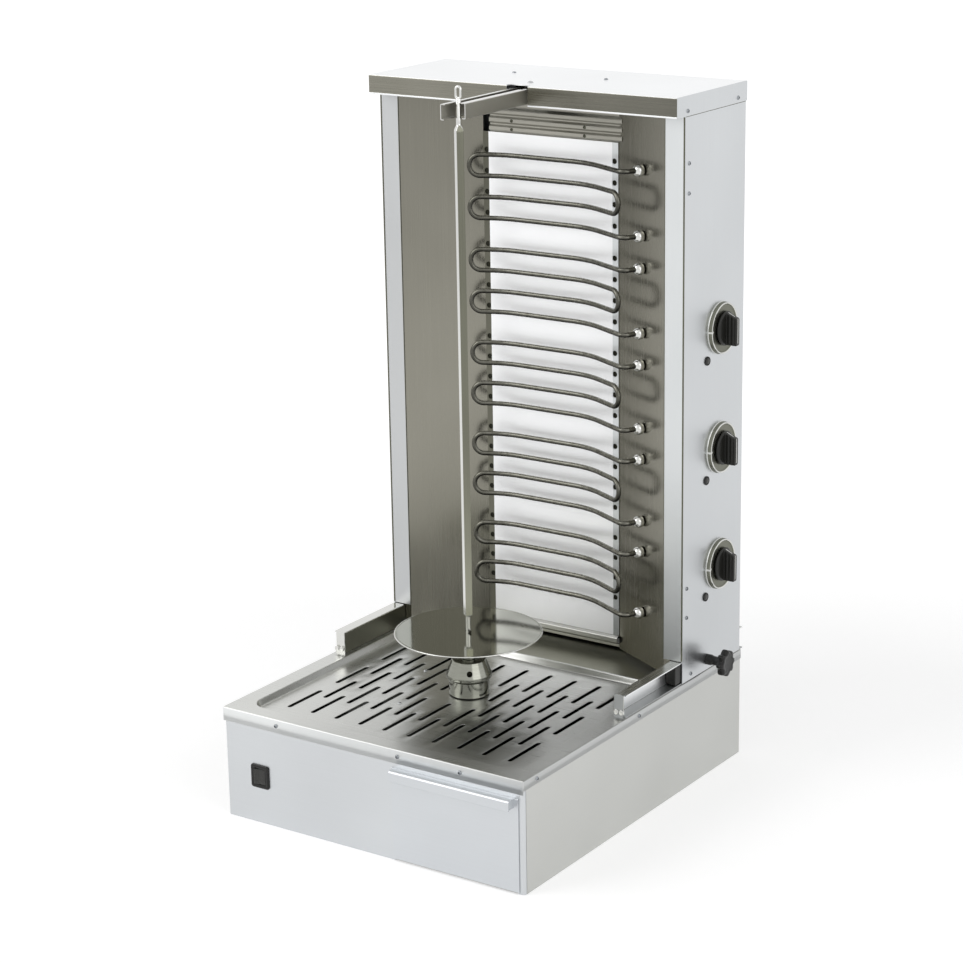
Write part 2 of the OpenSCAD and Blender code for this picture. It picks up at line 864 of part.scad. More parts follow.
module back_panel() color("silver")
    difference() {
        block([-panel_in, tower_back - sheet, side_bottom], [panel_in, tower_back, roof_z]);
        both_sides()
            block([floor_half, tower_back - sheet - over, side_bottom - over],
                  [tower_half, tower_back + over, column_bottom]);
        for (share = vent_shares)
            for (i = [0:vent_count - 1])
                translate([(i - (vent_count - 1) / 2) * vent_pitch, tower_back, share * cover_top])
                    rotate([90, 0, 0]) linear_extrude(2 * sheet + over, center = true)
                        square([vent_w, vent_l], center = true);
    }

// Front column: the bright strip, the flange behind the side panel, and a narrow return by the well
module front_column()
    difference() {
        translate([0, 0, column_bottom])
            linear_extrude(roof_z - column_bottom)
                polygon(concat(column_path, backward(side_of(column_path, column_t))));
        at_panel_screws() screw_hole(screw_shank, screw_l);
        at_flange_screws() screw_hole(screw_shank, screw_l);
    }
module front_column_right() color("white") front_column();
module front_column_left() color("white") mirror([1, 0, 0]) front_column();

module tower_floor() color("dimgray")
    folded_along_y([[-panel_in, floor_rise + fold_w], [-panel_in, floor_rise], [-floor_half, floor_rise],
                    [-floor_half, floor_bottom], [floor_half, floor_bottom], [floor_half, floor_rise],
                    [panel_in, floor_rise], [panel_in, floor_rise + fold_w]],
                   sheet, floor_y + liner_t, tower_back - sheet);

module top_cover() color("whitesmoke")
    difference() {
        union() {
            block([-cover_half, cover_front, roof_z], [cover_half, cover_back, cover_top]);
            block([-cover_half, cover_front, cover_bottom], [cover_half, cover_front + sheet, cover_top]);
            block([-cover_half, cover_back - sheet, cover_bottom], [cover_half, cover_back, cover_top]);
            for (side = [-1, 1])
                block([side < 0 ? -cover_half : tower_half, cover_front, cover_bottom],
                      [side < 0 ? -tower_half : cover_half, cover_back, cover_top]);
        }
        block([-arm_notch_half, cover_front - over, cover_bottom - over],
              [arm_notch_half, cover_front + arm_notch_deep, cover_top + over]);
        at_flange_screws() screw_hole(screw_shank, screw_l);
        at_top_screws() screw_hole(screw_shank, screw_l);
        translate([0, lock_y, cover_top]) screw_hole(lock_d, screw_l);
    }

module cover_screws() color("lightgray") {
    at_flange_screws() dome_screw(screw_d, screw_h, screw_shank, screw_l);
    at_top_screws() dome_screw(screw_d, screw_h, screw_shank, screw_l);
}

module side_screws() color("lightgray")
    at_panel_screws() dome_screw(screw_d, screw_h, screw_shank, screw_l / 2);

// One angled panel of the reflector, with its flanges behind the strip and behind the back panel
module reflector()
    difference() {
        translate([0, 0, reflector_bottom])
            linear_extrude(reflector_top - reflector_bottom)
                polygon(concat(liner_path, backward(side_of(liner_path, -liner_t))));
        for (z = [[0, back_bottom], [back_top, cover_top]])
            block([back_half - fold_w, well_y - liner_t, z[0]], [well_half, well_y + over + liner_t, z[1]]);
        at_ferrules() translate([0, 0, -ferrule_d]) cylinder(d = tube_d + 2 * screw_play, h = 2 * ferrule_d);
    }
module reflector_right() color("darkgray") reflector();
module reflector_left() color("darkgray") mirror([1, 0, 0]) reflector();

module back_reflector() color("white")
    block([-back_half, well_y - liner_t, back_bottom], [back_half, well_y, back_top]);

module support_strips() color("lightgray")
    difference() {
        both_sides()
            block([back_half, well_y - liner_t, back_bottom], [well_half, well_y, back_top]);
        for (e = [0:element_count - 1])
            for (p = [0:3])
                both_sides()
                    translate([back_half + strip_hole_in, well_y, pass_z(e, p) + strip_hole_rise])
                        rotate([90, 0, 0]) cylinder(d = strip_hole_d, h = 4 * liner_t, center = true, $fn = 16);
    }

module header() color("darkgray")
    difference() {
        folded_along_x(concat([[well_y, back_top - fold_w], [well_y, back_top]],
                              [for (i = [0:ridges - 1])
                                  each [[well_y - liner_t - ridge_deep, back_top + i * ridge_h + ridge_slope],
                                        [well_y - liner_t - ridge_deep, back_top + (i + 1) * ridge_h - ridge_slope],
                                        [well_y - liner_t, back_top + (i + 1) * ridge_h]]],
                              [[well_y + fold_w, back_top + ridges * ridge_h]]),
                       -liner_t, -header_half, header_half);
        at_header_screws() screw_hole(screw_shank, screw_h);
    }

module at_header_screws()
    for (side = [-1, 1])
        for (i = [0, 1])
            translate([side * header_screw_x, well_y - liner_t - ridge_deep, back_top + (i + 0.5) * ridge_h])
                facing_front() children();

module header_screws() color("gray")
    at_header_screws() dome_screw(small_screw_d, screw_h, screw_shank, screw_h);

module bottom_lip() color("lightgray")
    folded_along_x([[well_y, back_bottom], [well_y - liner_t - ridge_deep, back_bottom - ridge_slope],
                    [well_y - liner_t - ridge_deep, lip_bottom + ridge_slope], [well_y, lip_bottom],
                    [floor_y, lip_bottom], [floor_y, floor_bottom]],
                   liner_t, liner_t - well_half, well_half - liner_t);

// Heights of the passes: element e from the top, pass p from its top
function pass_z(e, p) = first_pass - e * element_pitch - p * pass_pitch;

// A straight run of tube between two places in plan, at height z, sunk a little into the bend at each end
module run(a, b, z) {
    from = a - bend_sunk * unit(b - a);
    d = b - a;
    translate([from.x, from.y, z]) rotate(atan2(d.y, d.x)) rotate([0, 90, 0])
        cylinder(d = tube_d, h = norm(d) + 2 * bend_sunk, $fn = 24);
}

// A bend in plan about a centre, from one heading to another
module bend(centre, r, from, sweep, z)
    translate([centre.x, centre.y, z]) rotate(from)
        rotate_extrude(angle = sweep) translate([r, 0]) circle(d = bend_d, $fn = 24);

// A hairpin in the upright plane that runs along a leg, joining two passes
module hairpin(place, heading, z)
    translate([place.x, place.y, z - pass_pitch / 2]) rotate(heading) rotate([90, 0, 0]) rotate(-90)
        rotate_extrude(angle = 180) translate([pass_pitch / 2, 0]) circle(d = bend_d, $fn = 24);

// One pass: left leg, back run and right leg; the first and last passes turn into the right panel
module element_pass(z, turned) {
    run(left_leg_end, mirrored(leg_start), z);
    bend([-back_x, run_y - bend_r], bend_r, 90, well_turn, z);
    run([-back_x, run_y], [back_x, run_y], z);
    bend([back_x, run_y - bend_r], bend_r, 90 - well_turn, well_turn, z);
    run(leg_start, turned ? stub_start : right_leg_end, z);
    if (turned) {
        bend(stub_centre, stub_bend_r, -90 - well_turn, 90, z);
        run(stub_turned, stub_foot, z);
    }
}

module element(e) color("dimgray") {
    for (p = [0:3]) element_pass(pass_z(e, p), p == 0 || p == 3);
    for (p = [0, 2]) hairpin(left_leg_end, 180 + well_turn, pass_z(e, p));
    hairpin(right_leg_end, -well_turn, pass_z(e, 1));
}

// Feet of the elements on the right panel
module at_ferrules()
    for (e = [0:element_count - 1])
        for (p = [0, 3])
            translate([ferrule_foot.x, ferrule_foot.y, pass_z(e, p)])
                rotate(-90 - well_turn) rotate([0, 90, 0]) children();

module element_ferrules() color("silver")
    at_ferrules() difference() {
        union() {
            cylinder(d = ferrule_base_d, h = ferrule_base);
            intersection() {
                translate([0, 0, ferrule_d / 3]) sphere(d = ferrule_d);
                cylinder(d = ferrule_d, h = ferrule_d);
            }
        }
        translate([0, 0, -over]) cylinder(d = tube_d, h = 2 * ferrule_d);
    }

module regulators() color("dimgray")
    at_knobs() difference() {
        translate([-regulator_w / 2, -regulator_w / 2, -sheet - regulator_deep])
            cube([regulator_w, regulator_w, regulator_deep]);
        translate([0, 0, -spindle_in - over]) cylinder(d = spindle_d + 2 * running, h = spindle_in + over);
    }

module knob_bezels() color("silver")
    at_knobs() difference() {
        cylinder(d = bezel_d, h = bezel_t, $fn = 96);
        translate([0, 0, -over]) cylinder(d = spindle_d + hole_play, h = bezel_t + 2 * over);
    }

module pilot_lamps() color("black")
    at_lamps() {
        rotate_extrude() intersection() {
            square([lamp_d / 2, lamp_out]);
            translate([0, -lamp_d / 2]) circle(d = lamp_d + 2 * lamp_out);
        }
        translate([0, 0, -lamp_deep]) cylinder(d = lamp_d - 2 * lamp_out - 2 * screw_play, h = lamp_deep);
    }

// A round skirt with a raised grip bar, and its spindle
module knob() color("black") {
    face = bezel_t + slip;
    translate([0, 0, face]) cylinder(d = knob_d, h = knob_t);
    translate([0, 0, face + knob_t]) linear_extrude(grip_out)
        intersection() {
            square([grip_l, grip_w], center = true);
            circle(d = grip_l);
        }
    translate([0, 0, -spindle_in]) cylinder(d = spindle_d, h = spindle_in + face + over);
}
module knob_top() at_knob(0) knob();
module knob_middle() at_knob(1) knob();
module knob_bottom() at_knob(2) knob();

// Blocks that run in the rails and carry the tower
module slide_shoes() color("black")
    difference() {
        both_sides()
            block([rail_in + rail_t + slip, shoe_y, base_h + rail_t + slip],
                  [panel_in, shoe_y + shoe_l, rail_top - rail_t - slip]);
        at_panel_screws() screw_hole(screw_shank, screw_l);
        at_clamp() translate([0, 0, -rail_w]) cylinder(d = clamp_d + 2 * running, h = 2 * rail_w);
    }

module clamp_knob() color("black")
    at_clamp() {
        reach = tower_half - rail_in - rail_t - over;
        translate([0, 0, -reach]) cylinder(d = clamp_d, h = reach + clamp_out - clamp_t + over);
        translate([0, 0, slip]) cylinder(r = clamp_neck, h = clamp_out - clamp_t - slip);
        translate([0, 0, clamp_out - clamp_t]) linear_extrude(clamp_t) star();
    }

// A round outline whose radius waves in and out once for each lobe
module star() {
    steps = 12 * clamp_lobes;
    polygon([for (i = [0:steps - 1])
        let (turn = i * 360 / steps)
        (clamp_r - clamp_dip * (1 - cos(clamp_lobes * turn)) / 2) * [cos(turn), sin(turn)]]);
}

module arm_guide() color("silver") {
    half = arm_w / 2 + slip;
    low = arm_bottom - slip;
    folded_along_y([[-half - guide_lug, roof_z], [-half, roof_z], [-half, low], [half, low], [half, roof_z],
                    [half + guide_lug, roof_z]],
                   -sheet, guide_front, guide_front + guide_l);
}

module arm_lock_screw() color("silver") {
    lip_z = arm_top - arm_t - slip;
    translate([0, lock_y, cover_top]) dome_screw(lock_head_d, lock_head_h, lock_d, cover_top - lip_z);
    translate([-lock_nut / 2, lock_y - lock_nut / 2, lip_z - lock_nut_h]) cube([lock_nut, lock_nut, lock_nut_h]);
}

// Channel with its slot on top; the skewer's rod stands in the slot
module spit_arm() color("silver")
    difference() {
        block([-arm_w / 2, arm_tip, arm_bottom], [arm_w / 2, arm_end, arm_top]);
        block([arm_t - arm_w / 2, arm_tip - over, arm_bottom + arm_t],
              [arm_w / 2 - arm_t, arm_end + over, arm_top - arm_t]);
        block([-arm_slot / 2, arm_tip - over, arm_bottom + arm_t], [arm_slot / 2, arm_end + over, arm_top + over]);
        block([-arm_web_slot / 2, arm_tip - over, arm_bottom - over],
              [arm_web_slot / 2, arm_slot_end, arm_bottom + arm_t + over]);
        block([0, arm_tip - over, arm_bottom - over], [arm_w / 2 + over, arm_right_cut, arm_top + over]);
    }

module drawer_front() color("gainsboro") {
    block([drawer_left, drawer_face, drawer_bottom], [drawer_right, drawer_face + drawer_t, drawer_top]);
    nose = drawer_face - lip_out;
    folded_along_x([[drawer_face + drawer_t, drawer_top], [nose + lip_fold, drawer_top], [nose, drawer_top - lip_fold],
                    [nose, drawer_top - lip_drop + lip_fold], [nose + lip_fold, drawer_top - lip_drop]],
                   drawer_t, lip_left, lip_right);
}

module drawer_pan() color("silver")
    difference() {
        block([pan_left, drawer_face + drawer_t, pan_z], [pan_right, drawer_face + drawer_t + pan_l, pan_z + pan_h]);
        block([pan_left + pan_t, drawer_face + drawer_t + pan_t, pan_z + pan_t],
              [pan_right - pan_t, drawer_face + drawer_t + pan_l - pan_t, pan_z + pan_h + over]);
    }

base_shell();
front_panel();
bottom_plate();
top_deck();
deck_screws();
drip_guide();
guide_screws();
drawer_runners();
gear_motor();
motor_bracket();
rail_left();
rail_right();
rail_bolts();
switch_frame();
terminal_block();
cable_gland();
motor_shaft();
coupling_hub();
hub_set_screws();
meat_disc();
disc_collar();
spit_bar();
spit_eye();
stop_pin();
back_panel();
side_panel_left();
side_panel_right();
front_column_left();
front_column_right();
tower_floor();
top_cover();
cover_screws();
side_screws();
reflector_left();
reflector_right();
back_reflector();
support_strips();
header();
header_screws();
bottom_lip();
element(0);  // element_1
element(1);  // element_2
element(2);  // element_3
element(3);  // element_4
element(4);  // element_5
element_ferrules();
regulators();
knob_bezels();
pilot_lamps();
slide_shoes();
arm_guide();
arm_lock_screw();
spit_arm();
knob_top();
knob_middle();
knob_bottom();
rocker_switch();
clamp_knob();
drawer_front();
drawer_pan();
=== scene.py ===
# %% [markdown]
# ## A tabletop skewer grill
# The grill is already drawn as exact solids, and this scene gives it its looks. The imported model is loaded
# as a fixed frame, and each new piece is worked out in the same frame: the origin is the spit's axis at
# bench level, X runs to the right, Y to the back and Z up. Sizes are written in millimetres, as a
# metalworker would write them, and turned into metres only when a mesh is made.

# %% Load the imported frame
import math
import bmesh
import bpy
import numpy as np
from mathutils import Matrix


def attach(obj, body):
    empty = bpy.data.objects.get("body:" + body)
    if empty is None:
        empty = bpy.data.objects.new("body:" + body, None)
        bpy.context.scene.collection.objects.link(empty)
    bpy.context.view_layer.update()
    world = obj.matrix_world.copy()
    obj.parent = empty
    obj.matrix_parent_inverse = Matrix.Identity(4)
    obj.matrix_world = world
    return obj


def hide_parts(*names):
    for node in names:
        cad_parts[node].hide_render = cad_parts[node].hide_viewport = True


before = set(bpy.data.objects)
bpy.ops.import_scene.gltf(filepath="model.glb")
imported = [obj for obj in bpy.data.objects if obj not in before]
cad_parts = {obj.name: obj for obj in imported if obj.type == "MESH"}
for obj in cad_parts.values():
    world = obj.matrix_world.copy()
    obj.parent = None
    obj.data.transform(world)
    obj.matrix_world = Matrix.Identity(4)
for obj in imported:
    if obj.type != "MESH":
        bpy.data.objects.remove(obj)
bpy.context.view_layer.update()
MM = 0.001
bpy.context.scene.view_settings.view_transform = "Standard"
print("nodes in the frame:", len(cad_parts))

# %% [markdown]
# ## The camera
# The photograph was taken from the front right and a little above, with a long lens. A camera's direction
# is easiest to reason about as three turns: yaw round the upright, pitch down toward the bench, and a slight
# roll. They give the camera's right, up and back directions, which are the columns of its rotation.

# %% Place the camera
EYE = (2.28263, -3.27622, 1.72456)
YAW = 0.60213
PITCH = 0.28904
ROLL = -0.0173
LENS = 97.583
FILM = 36.0
FAR_CLIP = 50


def new_object(name, data):
    """An object with its data, linked into the scene."""
    made = bpy.data.objects.new(name, data)
    bpy.context.scene.collection.objects.link(made)
    return made


def stand_at(made, place, right, up, back):
    """Stands an object at a place with its own X, Y and Z along three directions."""
    turn = Matrix([[right[i], up[i], back[i]] for i in range(3)])
    made.matrix_world = Matrix.Translation(place) @ turn.to_4x4()


def camera_axes(yaw, pitch, roll):
    """Right, up and back of a camera that looks along +Y, turned left by yaw, tipped down, then rolled."""
    ahead = np.array([-math.sin(yaw) * math.cos(pitch), math.cos(yaw) * math.cos(pitch), -math.sin(pitch)])
    level = np.array([math.cos(yaw), math.sin(yaw), 0.0])
    above = np.cross(level, ahead)
    right = math.cos(roll) * level + math.sin(roll) * above
    up = math.cos(roll) * above - math.sin(roll) * level
    return right, up, -ahead


camera_data = bpy.data.cameras.new("photo_view")
camera_data.sensor_width = FILM
camera_data.lens = LENS
camera_data.clip_end = FAR_CLIP
camera = new_object("photo_view", camera_data)
stand_at(camera, EYE, *camera_axes(YAW, PITCH, ROLL))
bpy.context.scene.camera = camera
print("camera stands at", EYE, "with a lens of", LENS, "mm")

# %% [markdown]
# ## A bench for materials
# Every finish here is built from nodes. A few small helpers keep that short: one makes a material whose
# shader has its plain values set, one adds a node, and one draws a noise that is stretched along the
# direction in which the metal was rolled or brushed. The noise reads Object coordinates, so it stays put on
# the metal from every side.

# %% Helpers for node materials
def shaded(name, **values):
    """A material with one principled shader, its named sockets set to plain values."""
    material = bpy.data.materials.new(name)
    material.use_nodes = True
    shader = material.node_tree.nodes["Principled BSDF"]
    for socket, value in values.items():
        shader.inputs[socket.replace("_", " ")].default_value = value
    return material, material.node_tree, shader


def added(tree, kind, operation=None, **inputs):
    """A new node of a kind, with the named inputs set to a value or linked to another node's output."""
    node = tree.nodes.new("ShaderNode" + kind)
    if operation:
        node.operation = operation
    for name, value in inputs.items():
        socket = node.inputs[int(name[2:])] if name.startswith("in") else node.inputs[name.replace("_", " ")]
        if isinstance(value, bpy.types.NodeSocket):
            tree.links.new(value, socket)
        else:
            socket.default_value = value
    return node


def place_on(tree):
    """The place on the object itself, in metres."""
    return added(tree, "TexCoord").outputs["Object"]


def stretched_noise(tree, per_metre, detail=4.0):
    """Noise with a given number of cells to the metre along X, Y and Z of the object."""
    scaled = added(tree, "Mapping", Vector=place_on(tree), Scale=per_metre).outputs["Vector"]
    return added(tree, "TexNoise", Vector=scaled, Scale=1.0, Detail=detail, Roughness=0.6).outputs["Fac"]


print("node helpers ready")

# %% [markdown]
# ## Tones and relief
# A finish could be a painted image, but an image blurs close up and has to be laid out for each piece. Nodes
# do neither. A noise is held within a range, the range mixes two tones, and the same noise drives the gloss
# and a faint relief, because one brushed line on real metal changes all three.

# %% Helpers for tones and relief
def ranged(tree, value, low, high, start=0.3, end=0.7):
    """The value carried from start..end onto low..high, held at both ends."""
    return added(tree, "MapRange", in0=value, in1=start, in2=end, in3=low, in4=high).outputs["Result"]


def toned(tree, factor, dark, light):
    """A colour between two tones, by a factor from nought to one."""
    node = added(tree, "Mix", in0=factor, in6=(*dark, 1), in7=(*light, 1))
    node.data_type = "RGBA"
    return node.outputs["Result"]


def dimmed(tree, colour, factor):
    """A colour times a factor."""
    return added(tree, "VectorMath", "SCALE", in0=colour, in3=factor).outputs["Vector"]


# Painted shade along one axis; with a share above one it is painted light.
def faded(tree, colour, axis, start, end, share):
    """The colour times a share at the start of a span of X, Y or Z in metres, and whole at its end."""
    along = added(tree, "SeparateXYZ", Vector=place_on(tree)).outputs[axis]
    return dimmed(tree, colour, ranged(tree, along, share, 1.0, start, end))


def finished(tree, shader, colour, grain, roughness, relief, depth):
    """Links a colour, a roughness that follows the grain over a range, and a relief of the grain."""
    bump = added(tree, "Bump", Strength=relief, Distance=depth, Height=grain)
    tree.links.new(colour, shader.inputs["Base Color"])
    tree.links.new(ranged(tree, grain, *roughness), shader.inputs["Roughness"])
    tree.links.new(bump.outputs["Normal"], shader.inputs["Normal"])


print("tone helpers ready")

# %% [markdown]
# ## Stainless steel
# The outside of the grill is satin stainless, rolled and then brushed. What tells a viewer that it is
# brushed is not its colour but the way its gloss changes: fine lines along one direction vary the roughness
# and tip the surface a little, and a slow cloudiness varies the tone. So each steel here is made by one
# function from its two tones, its roughness and the number of lines to the metre along each axis. A fade
# is painted shade: it darkens one end of a long sheet, as the dim part of a studio does. On the skewer the
# fade is painted light, which brightens its lower end.

# %% Stainless finishes
CLOUDS = (3.0, 3.0, 3.0)
STREAK_SHARE = 0.35
BRUSHED_DEPTH = 0.0004


def steel(name, dark, light, rough, lines, relief=0.03, fade=None):
    """Metal whose tone clouds slowly, and whose roughness and relief follow noise drawn out by the lines.
    A fade is an axis, the two ends of a span of it in metres, and the tone's share at its start."""
    material, tree, shader = shaded(name, Metallic=1.0)
    streaks = stretched_noise(tree, lines)
    both = added(tree, "Mix", in0=STREAK_SHARE, in2=stretched_noise(tree, CLOUDS, detail=2.0), in3=streaks)
    colour = toned(tree, ranged(tree, both.outputs[0], 0.0, 1.0), dark, light)
    if fade:
        colour = faded(tree, colour, *fade)
    finished(tree, shader, colour, streaks, (rough * 0.85, rough * 1.2), relief, BRUSHED_DEPTH)
    return material


ALONG_X = (5.0, 800.0, 800.0)
ALONG_Y = (800.0, 5.0, 800.0)
ALONG_Z = (800.0, 800.0, 5.0)
LATHE_LINES = (30.0, 30.0, 1600.0)
EVEN = (300.0, 300.0, 300.0)
panel_steel = steel("panel_steel", (0.585, 0.60, 0.615), (0.65, 0.67, 0.685), 0.36, ALONG_X)
# Painted shade: the base's sides and back are a shade darker than its front panel of the same steel.
side_steel = steel("side_steel", (0.53, 0.535, 0.515), (0.60, 0.605, 0.585), 0.34, ALONG_Y)
# Painted shade: the tower's side panels darken towards the bottom.
tower_side_steel = steel("tower_side_steel", (0.645, 0.665, 0.68), (0.715, 0.735, 0.75), 0.32, ALONG_Z,
                         fade=("Z", 0.25, 0.85, 0.88))
# Painted shade: the deck's top darkens towards the right.
deck_steel = steel("deck_steel", (0.57, 0.575, 0.555), (0.68, 0.685, 0.66), 0.30, ALONG_X,
                   fade=("X", 0.27, -0.22, 0.58))
# Painted light and shade: the deck's skirt is lighter than its top and darkens towards the right.
skirt_steel = steel("skirt_steel", (0.74, 0.755, 0.755), (0.82, 0.835, 0.83), 0.36, ALONG_X,
                    fade=("X", 0.29, -0.2, 0.68))
shadow_steel = steel("shadow_steel", (0.19, 0.19, 0.15), (0.25, 0.25, 0.20), 0.36, ALONG_X)
# Painted reflection of a dark room, darker towards the top.
reflector_steel = steel("reflector_steel", (0.235, 0.228, 0.19), (0.30, 0.29, 0.247), 0.24, ALONG_Z,
                        fade=("Z", 1.12, 0.70, 0.80))
# Painted reflection of a dark room on the cover's front fold, darker towards the right.
valance_steel = steel("valance_steel", (0.19, 0.186, 0.152), (0.29, 0.28, 0.24), 0.27, ALONG_X,
                      fade=("X", 0.29, -0.2, 0.62))
header_steel = steel("header_steel", (0.34, 0.33, 0.29), (0.40, 0.39, 0.345), 0.46, ALONG_X)
# Painted shade: the left front column is darker than the right one of the same steel.
left_column_shade_steel = steel("left_column_shade_steel", (0.50, 0.51, 0.515), (0.56, 0.57, 0.575), 0.38, ALONG_Z)
# Painted shade: the pale strips and the tower's back darken towards the bottom.
strip_steel = steel("strip_steel", (0.63, 0.65, 0.655), (0.70, 0.72, 0.725), 0.38, ALONG_Z,
                    fade=("Z", 0.24, 0.55, 0.62))
# Painted shade: the left support strips are dark where the right ones are pale, and darken towards the top.
left_strip_shade_steel = steel("left_strip_shade_steel", (0.13, 0.128, 0.10), (0.17, 0.167, 0.135), 0.30, ALONG_Z,
                         fade=("Z", 1.0, 0.3, 0.75))
lip_steel = steel("lip_steel", (0.43, 0.43, 0.40), (0.51, 0.51, 0.485), 0.34, ALONG_X)
rail_steel = steel("rail_steel", (0.40, 0.405, 0.38), (0.50, 0.505, 0.48), 0.26, ALONG_Y)
bright_steel = steel("bright_steel", (0.62, 0.62, 0.59), (0.76, 0.76, 0.74), 0.16, ALONG_Z)
mirror_steel = steel("mirror_steel", (0.30, 0.305, 0.263), (0.36, 0.365, 0.32), 0.08, ALONG_X, relief=0.008)
turned_steel = steel("turned_steel", (0.20, 0.205, 0.17), (0.44, 0.445, 0.40), 0.15, LATHE_LINES)
# Painted shade on one broad face of the skewer's square bar, and painted light that brightens it towards the
# bottom.
skewer_shade_side = steel("skewer_shade_side", (0.14, 0.14, 0.11), (0.19, 0.19, 0.15), 0.24, ALONG_Z,
                    fade=("Z", 0.30, 0.60, 1.9))
olive_steel = steel("olive_steel", (0.10, 0.10, 0.075), (0.14, 0.14, 0.107), 0.22, ALONG_Z)
white_steel = steel("white_steel", (0.84, 0.85, 0.855), (0.92, 0.93, 0.94), 0.34, ALONG_X)
back_white = steel("back_white", (0.89, 0.895, 0.90), (0.95, 0.955, 0.965), 0.50, ALONG_X)
# Near-black steel: painted shade, for holes and grooves, the flange behind the back and the parts inside and
# under the grill.
shade_dark_steel = steel("shade_dark_steel", (0.018, 0.018, 0.013), (0.032, 0.032, 0.024), 0.40, ALONG_X)
drawer_steel = steel("drawer_steel", (0.58, 0.60, 0.62), (0.65, 0.67, 0.69), 0.36, ALONG_X)
dial_steel = steel("dial_steel", (0.16, 0.163, 0.13), (0.22, 0.223, 0.185), 0.36, EVEN)
zinc = steel("zinc", (0.40, 0.41, 0.41), (0.60, 0.61, 0.62), 0.28, EVEN)
screw_steel = steel("screw_steel", (0.16, 0.17, 0.18), (0.38, 0.40, 0.42), 0.22, (900.0, 900.0, 900.0))
print("steels made:", len([m for m in bpy.data.materials if "steel" in m.name]))

# %% [markdown]
# ## Heater steel, plastics and ceramic
# The heater tubes are a nickel steel that has been red hot many times, so they are brown grey with darker
# clouds. The side of a tube that looks down is darkened further: painted shade. The knobs are phenolic
# plastic: black, with a fine spark-eroded grain that spreads their gloss. Both are ordinary shaders whose
# roughness and relief come from noise.

# %% Other finishes
GRAIN_DEPTH = 0.0003


def clouded(name, dark, light, rough, cells, relief, **values):
    """A finish whose tone, roughness and relief all follow one even noise."""
    material, tree, shader = shaded(name, **values)
    grain = stretched_noise(tree, (cells, cells, cells))
    colour = toned(tree, ranged(tree, grain, 0.0, 1.0), dark, light)
    finished(tree, shader, colour, grain, (rough * 0.8, rough * 1.2), relief, GRAIN_DEPTH)
    return material


def painted_shade_below(material, share):
    """Brings the tone of a finish down to a share where the surface looks down, by the Z of its normal."""
    tree = material.node_tree
    base = tree.nodes["Principled BSDF"].inputs["Base Color"]
    upward = added(tree, "SeparateXYZ", Vector=added(tree, "NewGeometry").outputs["Normal"]).outputs["Z"]
    underside_shade = ranged(tree, upward, share, 1.0, -0.45, 0.55)
    tree.links.new(dimmed(tree, base.links[0].from_socket, underside_shade), base)


heater_steel = clouded("heater_steel", (0.125, 0.123, 0.10), (0.215, 0.21, 0.18), 0.27, 90.0, 0.05,
                       Metallic=0.9)
# Painted shade: the tubes' undersides are darkened to 0.14 of their tone.
painted_shade_below(heater_steel, 0.14)
black_plastic = clouded("black_plastic", (0.010, 0.010, 0.0085), (0.017, 0.017, 0.0145), 0.34, 1500.0, 0.10,
                        Specular_IOR_Level=0.32)
gloss_black = clouded("gloss_black", (0.005, 0.005, 0.004), (0.009, 0.009, 0.008), 0.16, 400.0, 0.02,
                      Specular_IOR_Level=0.35)
rocker_black = clouded("rocker_black", (0.016, 0.016, 0.014), (0.026, 0.026, 0.023), 0.30, 900.0, 0.06)
white_mark = clouded("white_mark", (0.78, 0.78, 0.74), (0.86, 0.86, 0.83), 0.45, 600.0, 0.03)
motor_paint = clouded("motor_paint", (0.06, 0.065, 0.07), (0.09, 0.095, 0.10), 0.45, 700.0, 0.12)
ceramic = clouded("ceramic", (0.62, 0.60, 0.53), (0.72, 0.70, 0.64), 0.40, 300.0, 0.05)
lamp_lens = clouded("lamp_lens", (0.015, 0.015, 0.013), (0.03, 0.03, 0.027), 0.14, 500.0, 0.02)
print("materials in all:", len(bpy.data.materials))

# %% [markdown]
# ## From arrays to a mesh
# A shape is a grid of points: one index runs along it and the other runs round it. The faces of any grid are
# found from its two counts, with a side wrapped where the grid closes on itself. Faces could be listed one
# by one, but then every shape would need a list of its own.

# %% Grid faces
def grid_faces(rows, cols, wrap_rows=False, wrap_cols=False):
    """Quads of a grid: each joins (i, j), (i+1, j), (i+1, j+1) and (i, j+1), wrapping where asked."""
    i = np.arange(rows if wrap_rows else rows - 1)
    j = np.arange(cols if wrap_cols else cols - 1)
    a, b = np.meshgrid(i, j, indexing="ij")
    c = (a + 1) % rows
    d = (b + 1) % cols
    return np.stack([a * cols + b, c * cols + b, c * cols + d, a * cols + d], axis=-1).reshape(-1, 4)


def as_part(grid, wrap_rows=False, wrap_cols=False):
    """The points and faces of one grid of shape (rows, cols, 3)."""
    rows, cols = grid.shape[:2]
    return grid.reshape(-1, 3), grid_faces(rows, cols, wrap_rows, wrap_cols)


def joined(parts):
    """Several parts as one: points in a row, each part's faces moved on by the points before it."""
    starts = np.cumsum([0] + [len(points) for points, _ in parts[:-1]])
    points = np.concatenate([points for points, _ in parts])
    return points, np.concatenate([faces + start for (_, faces), start in zip(parts, starts)])


print("a ring of 4 rows by 5 has", len(grid_faces(4, 5, wrap_cols=True)), "faces")

# %% [markdown]
# ## From a mesh to a piece
# A piece is one mesh that is told which body it rides on and which solids it stands in for. A row of points
# that all lie in one place is a pole, and merging them closes it. After the merge the normals of the closed
# shell are made to point outwards, and edges sharper than a given angle are kept crisp. Where a real sheet
# looks different on one side, that side could be a piece of its own; choosing its faces by where they are
# and where they look keeps the sheet whole.

# %% Piece maker
MERGE = 2e-6


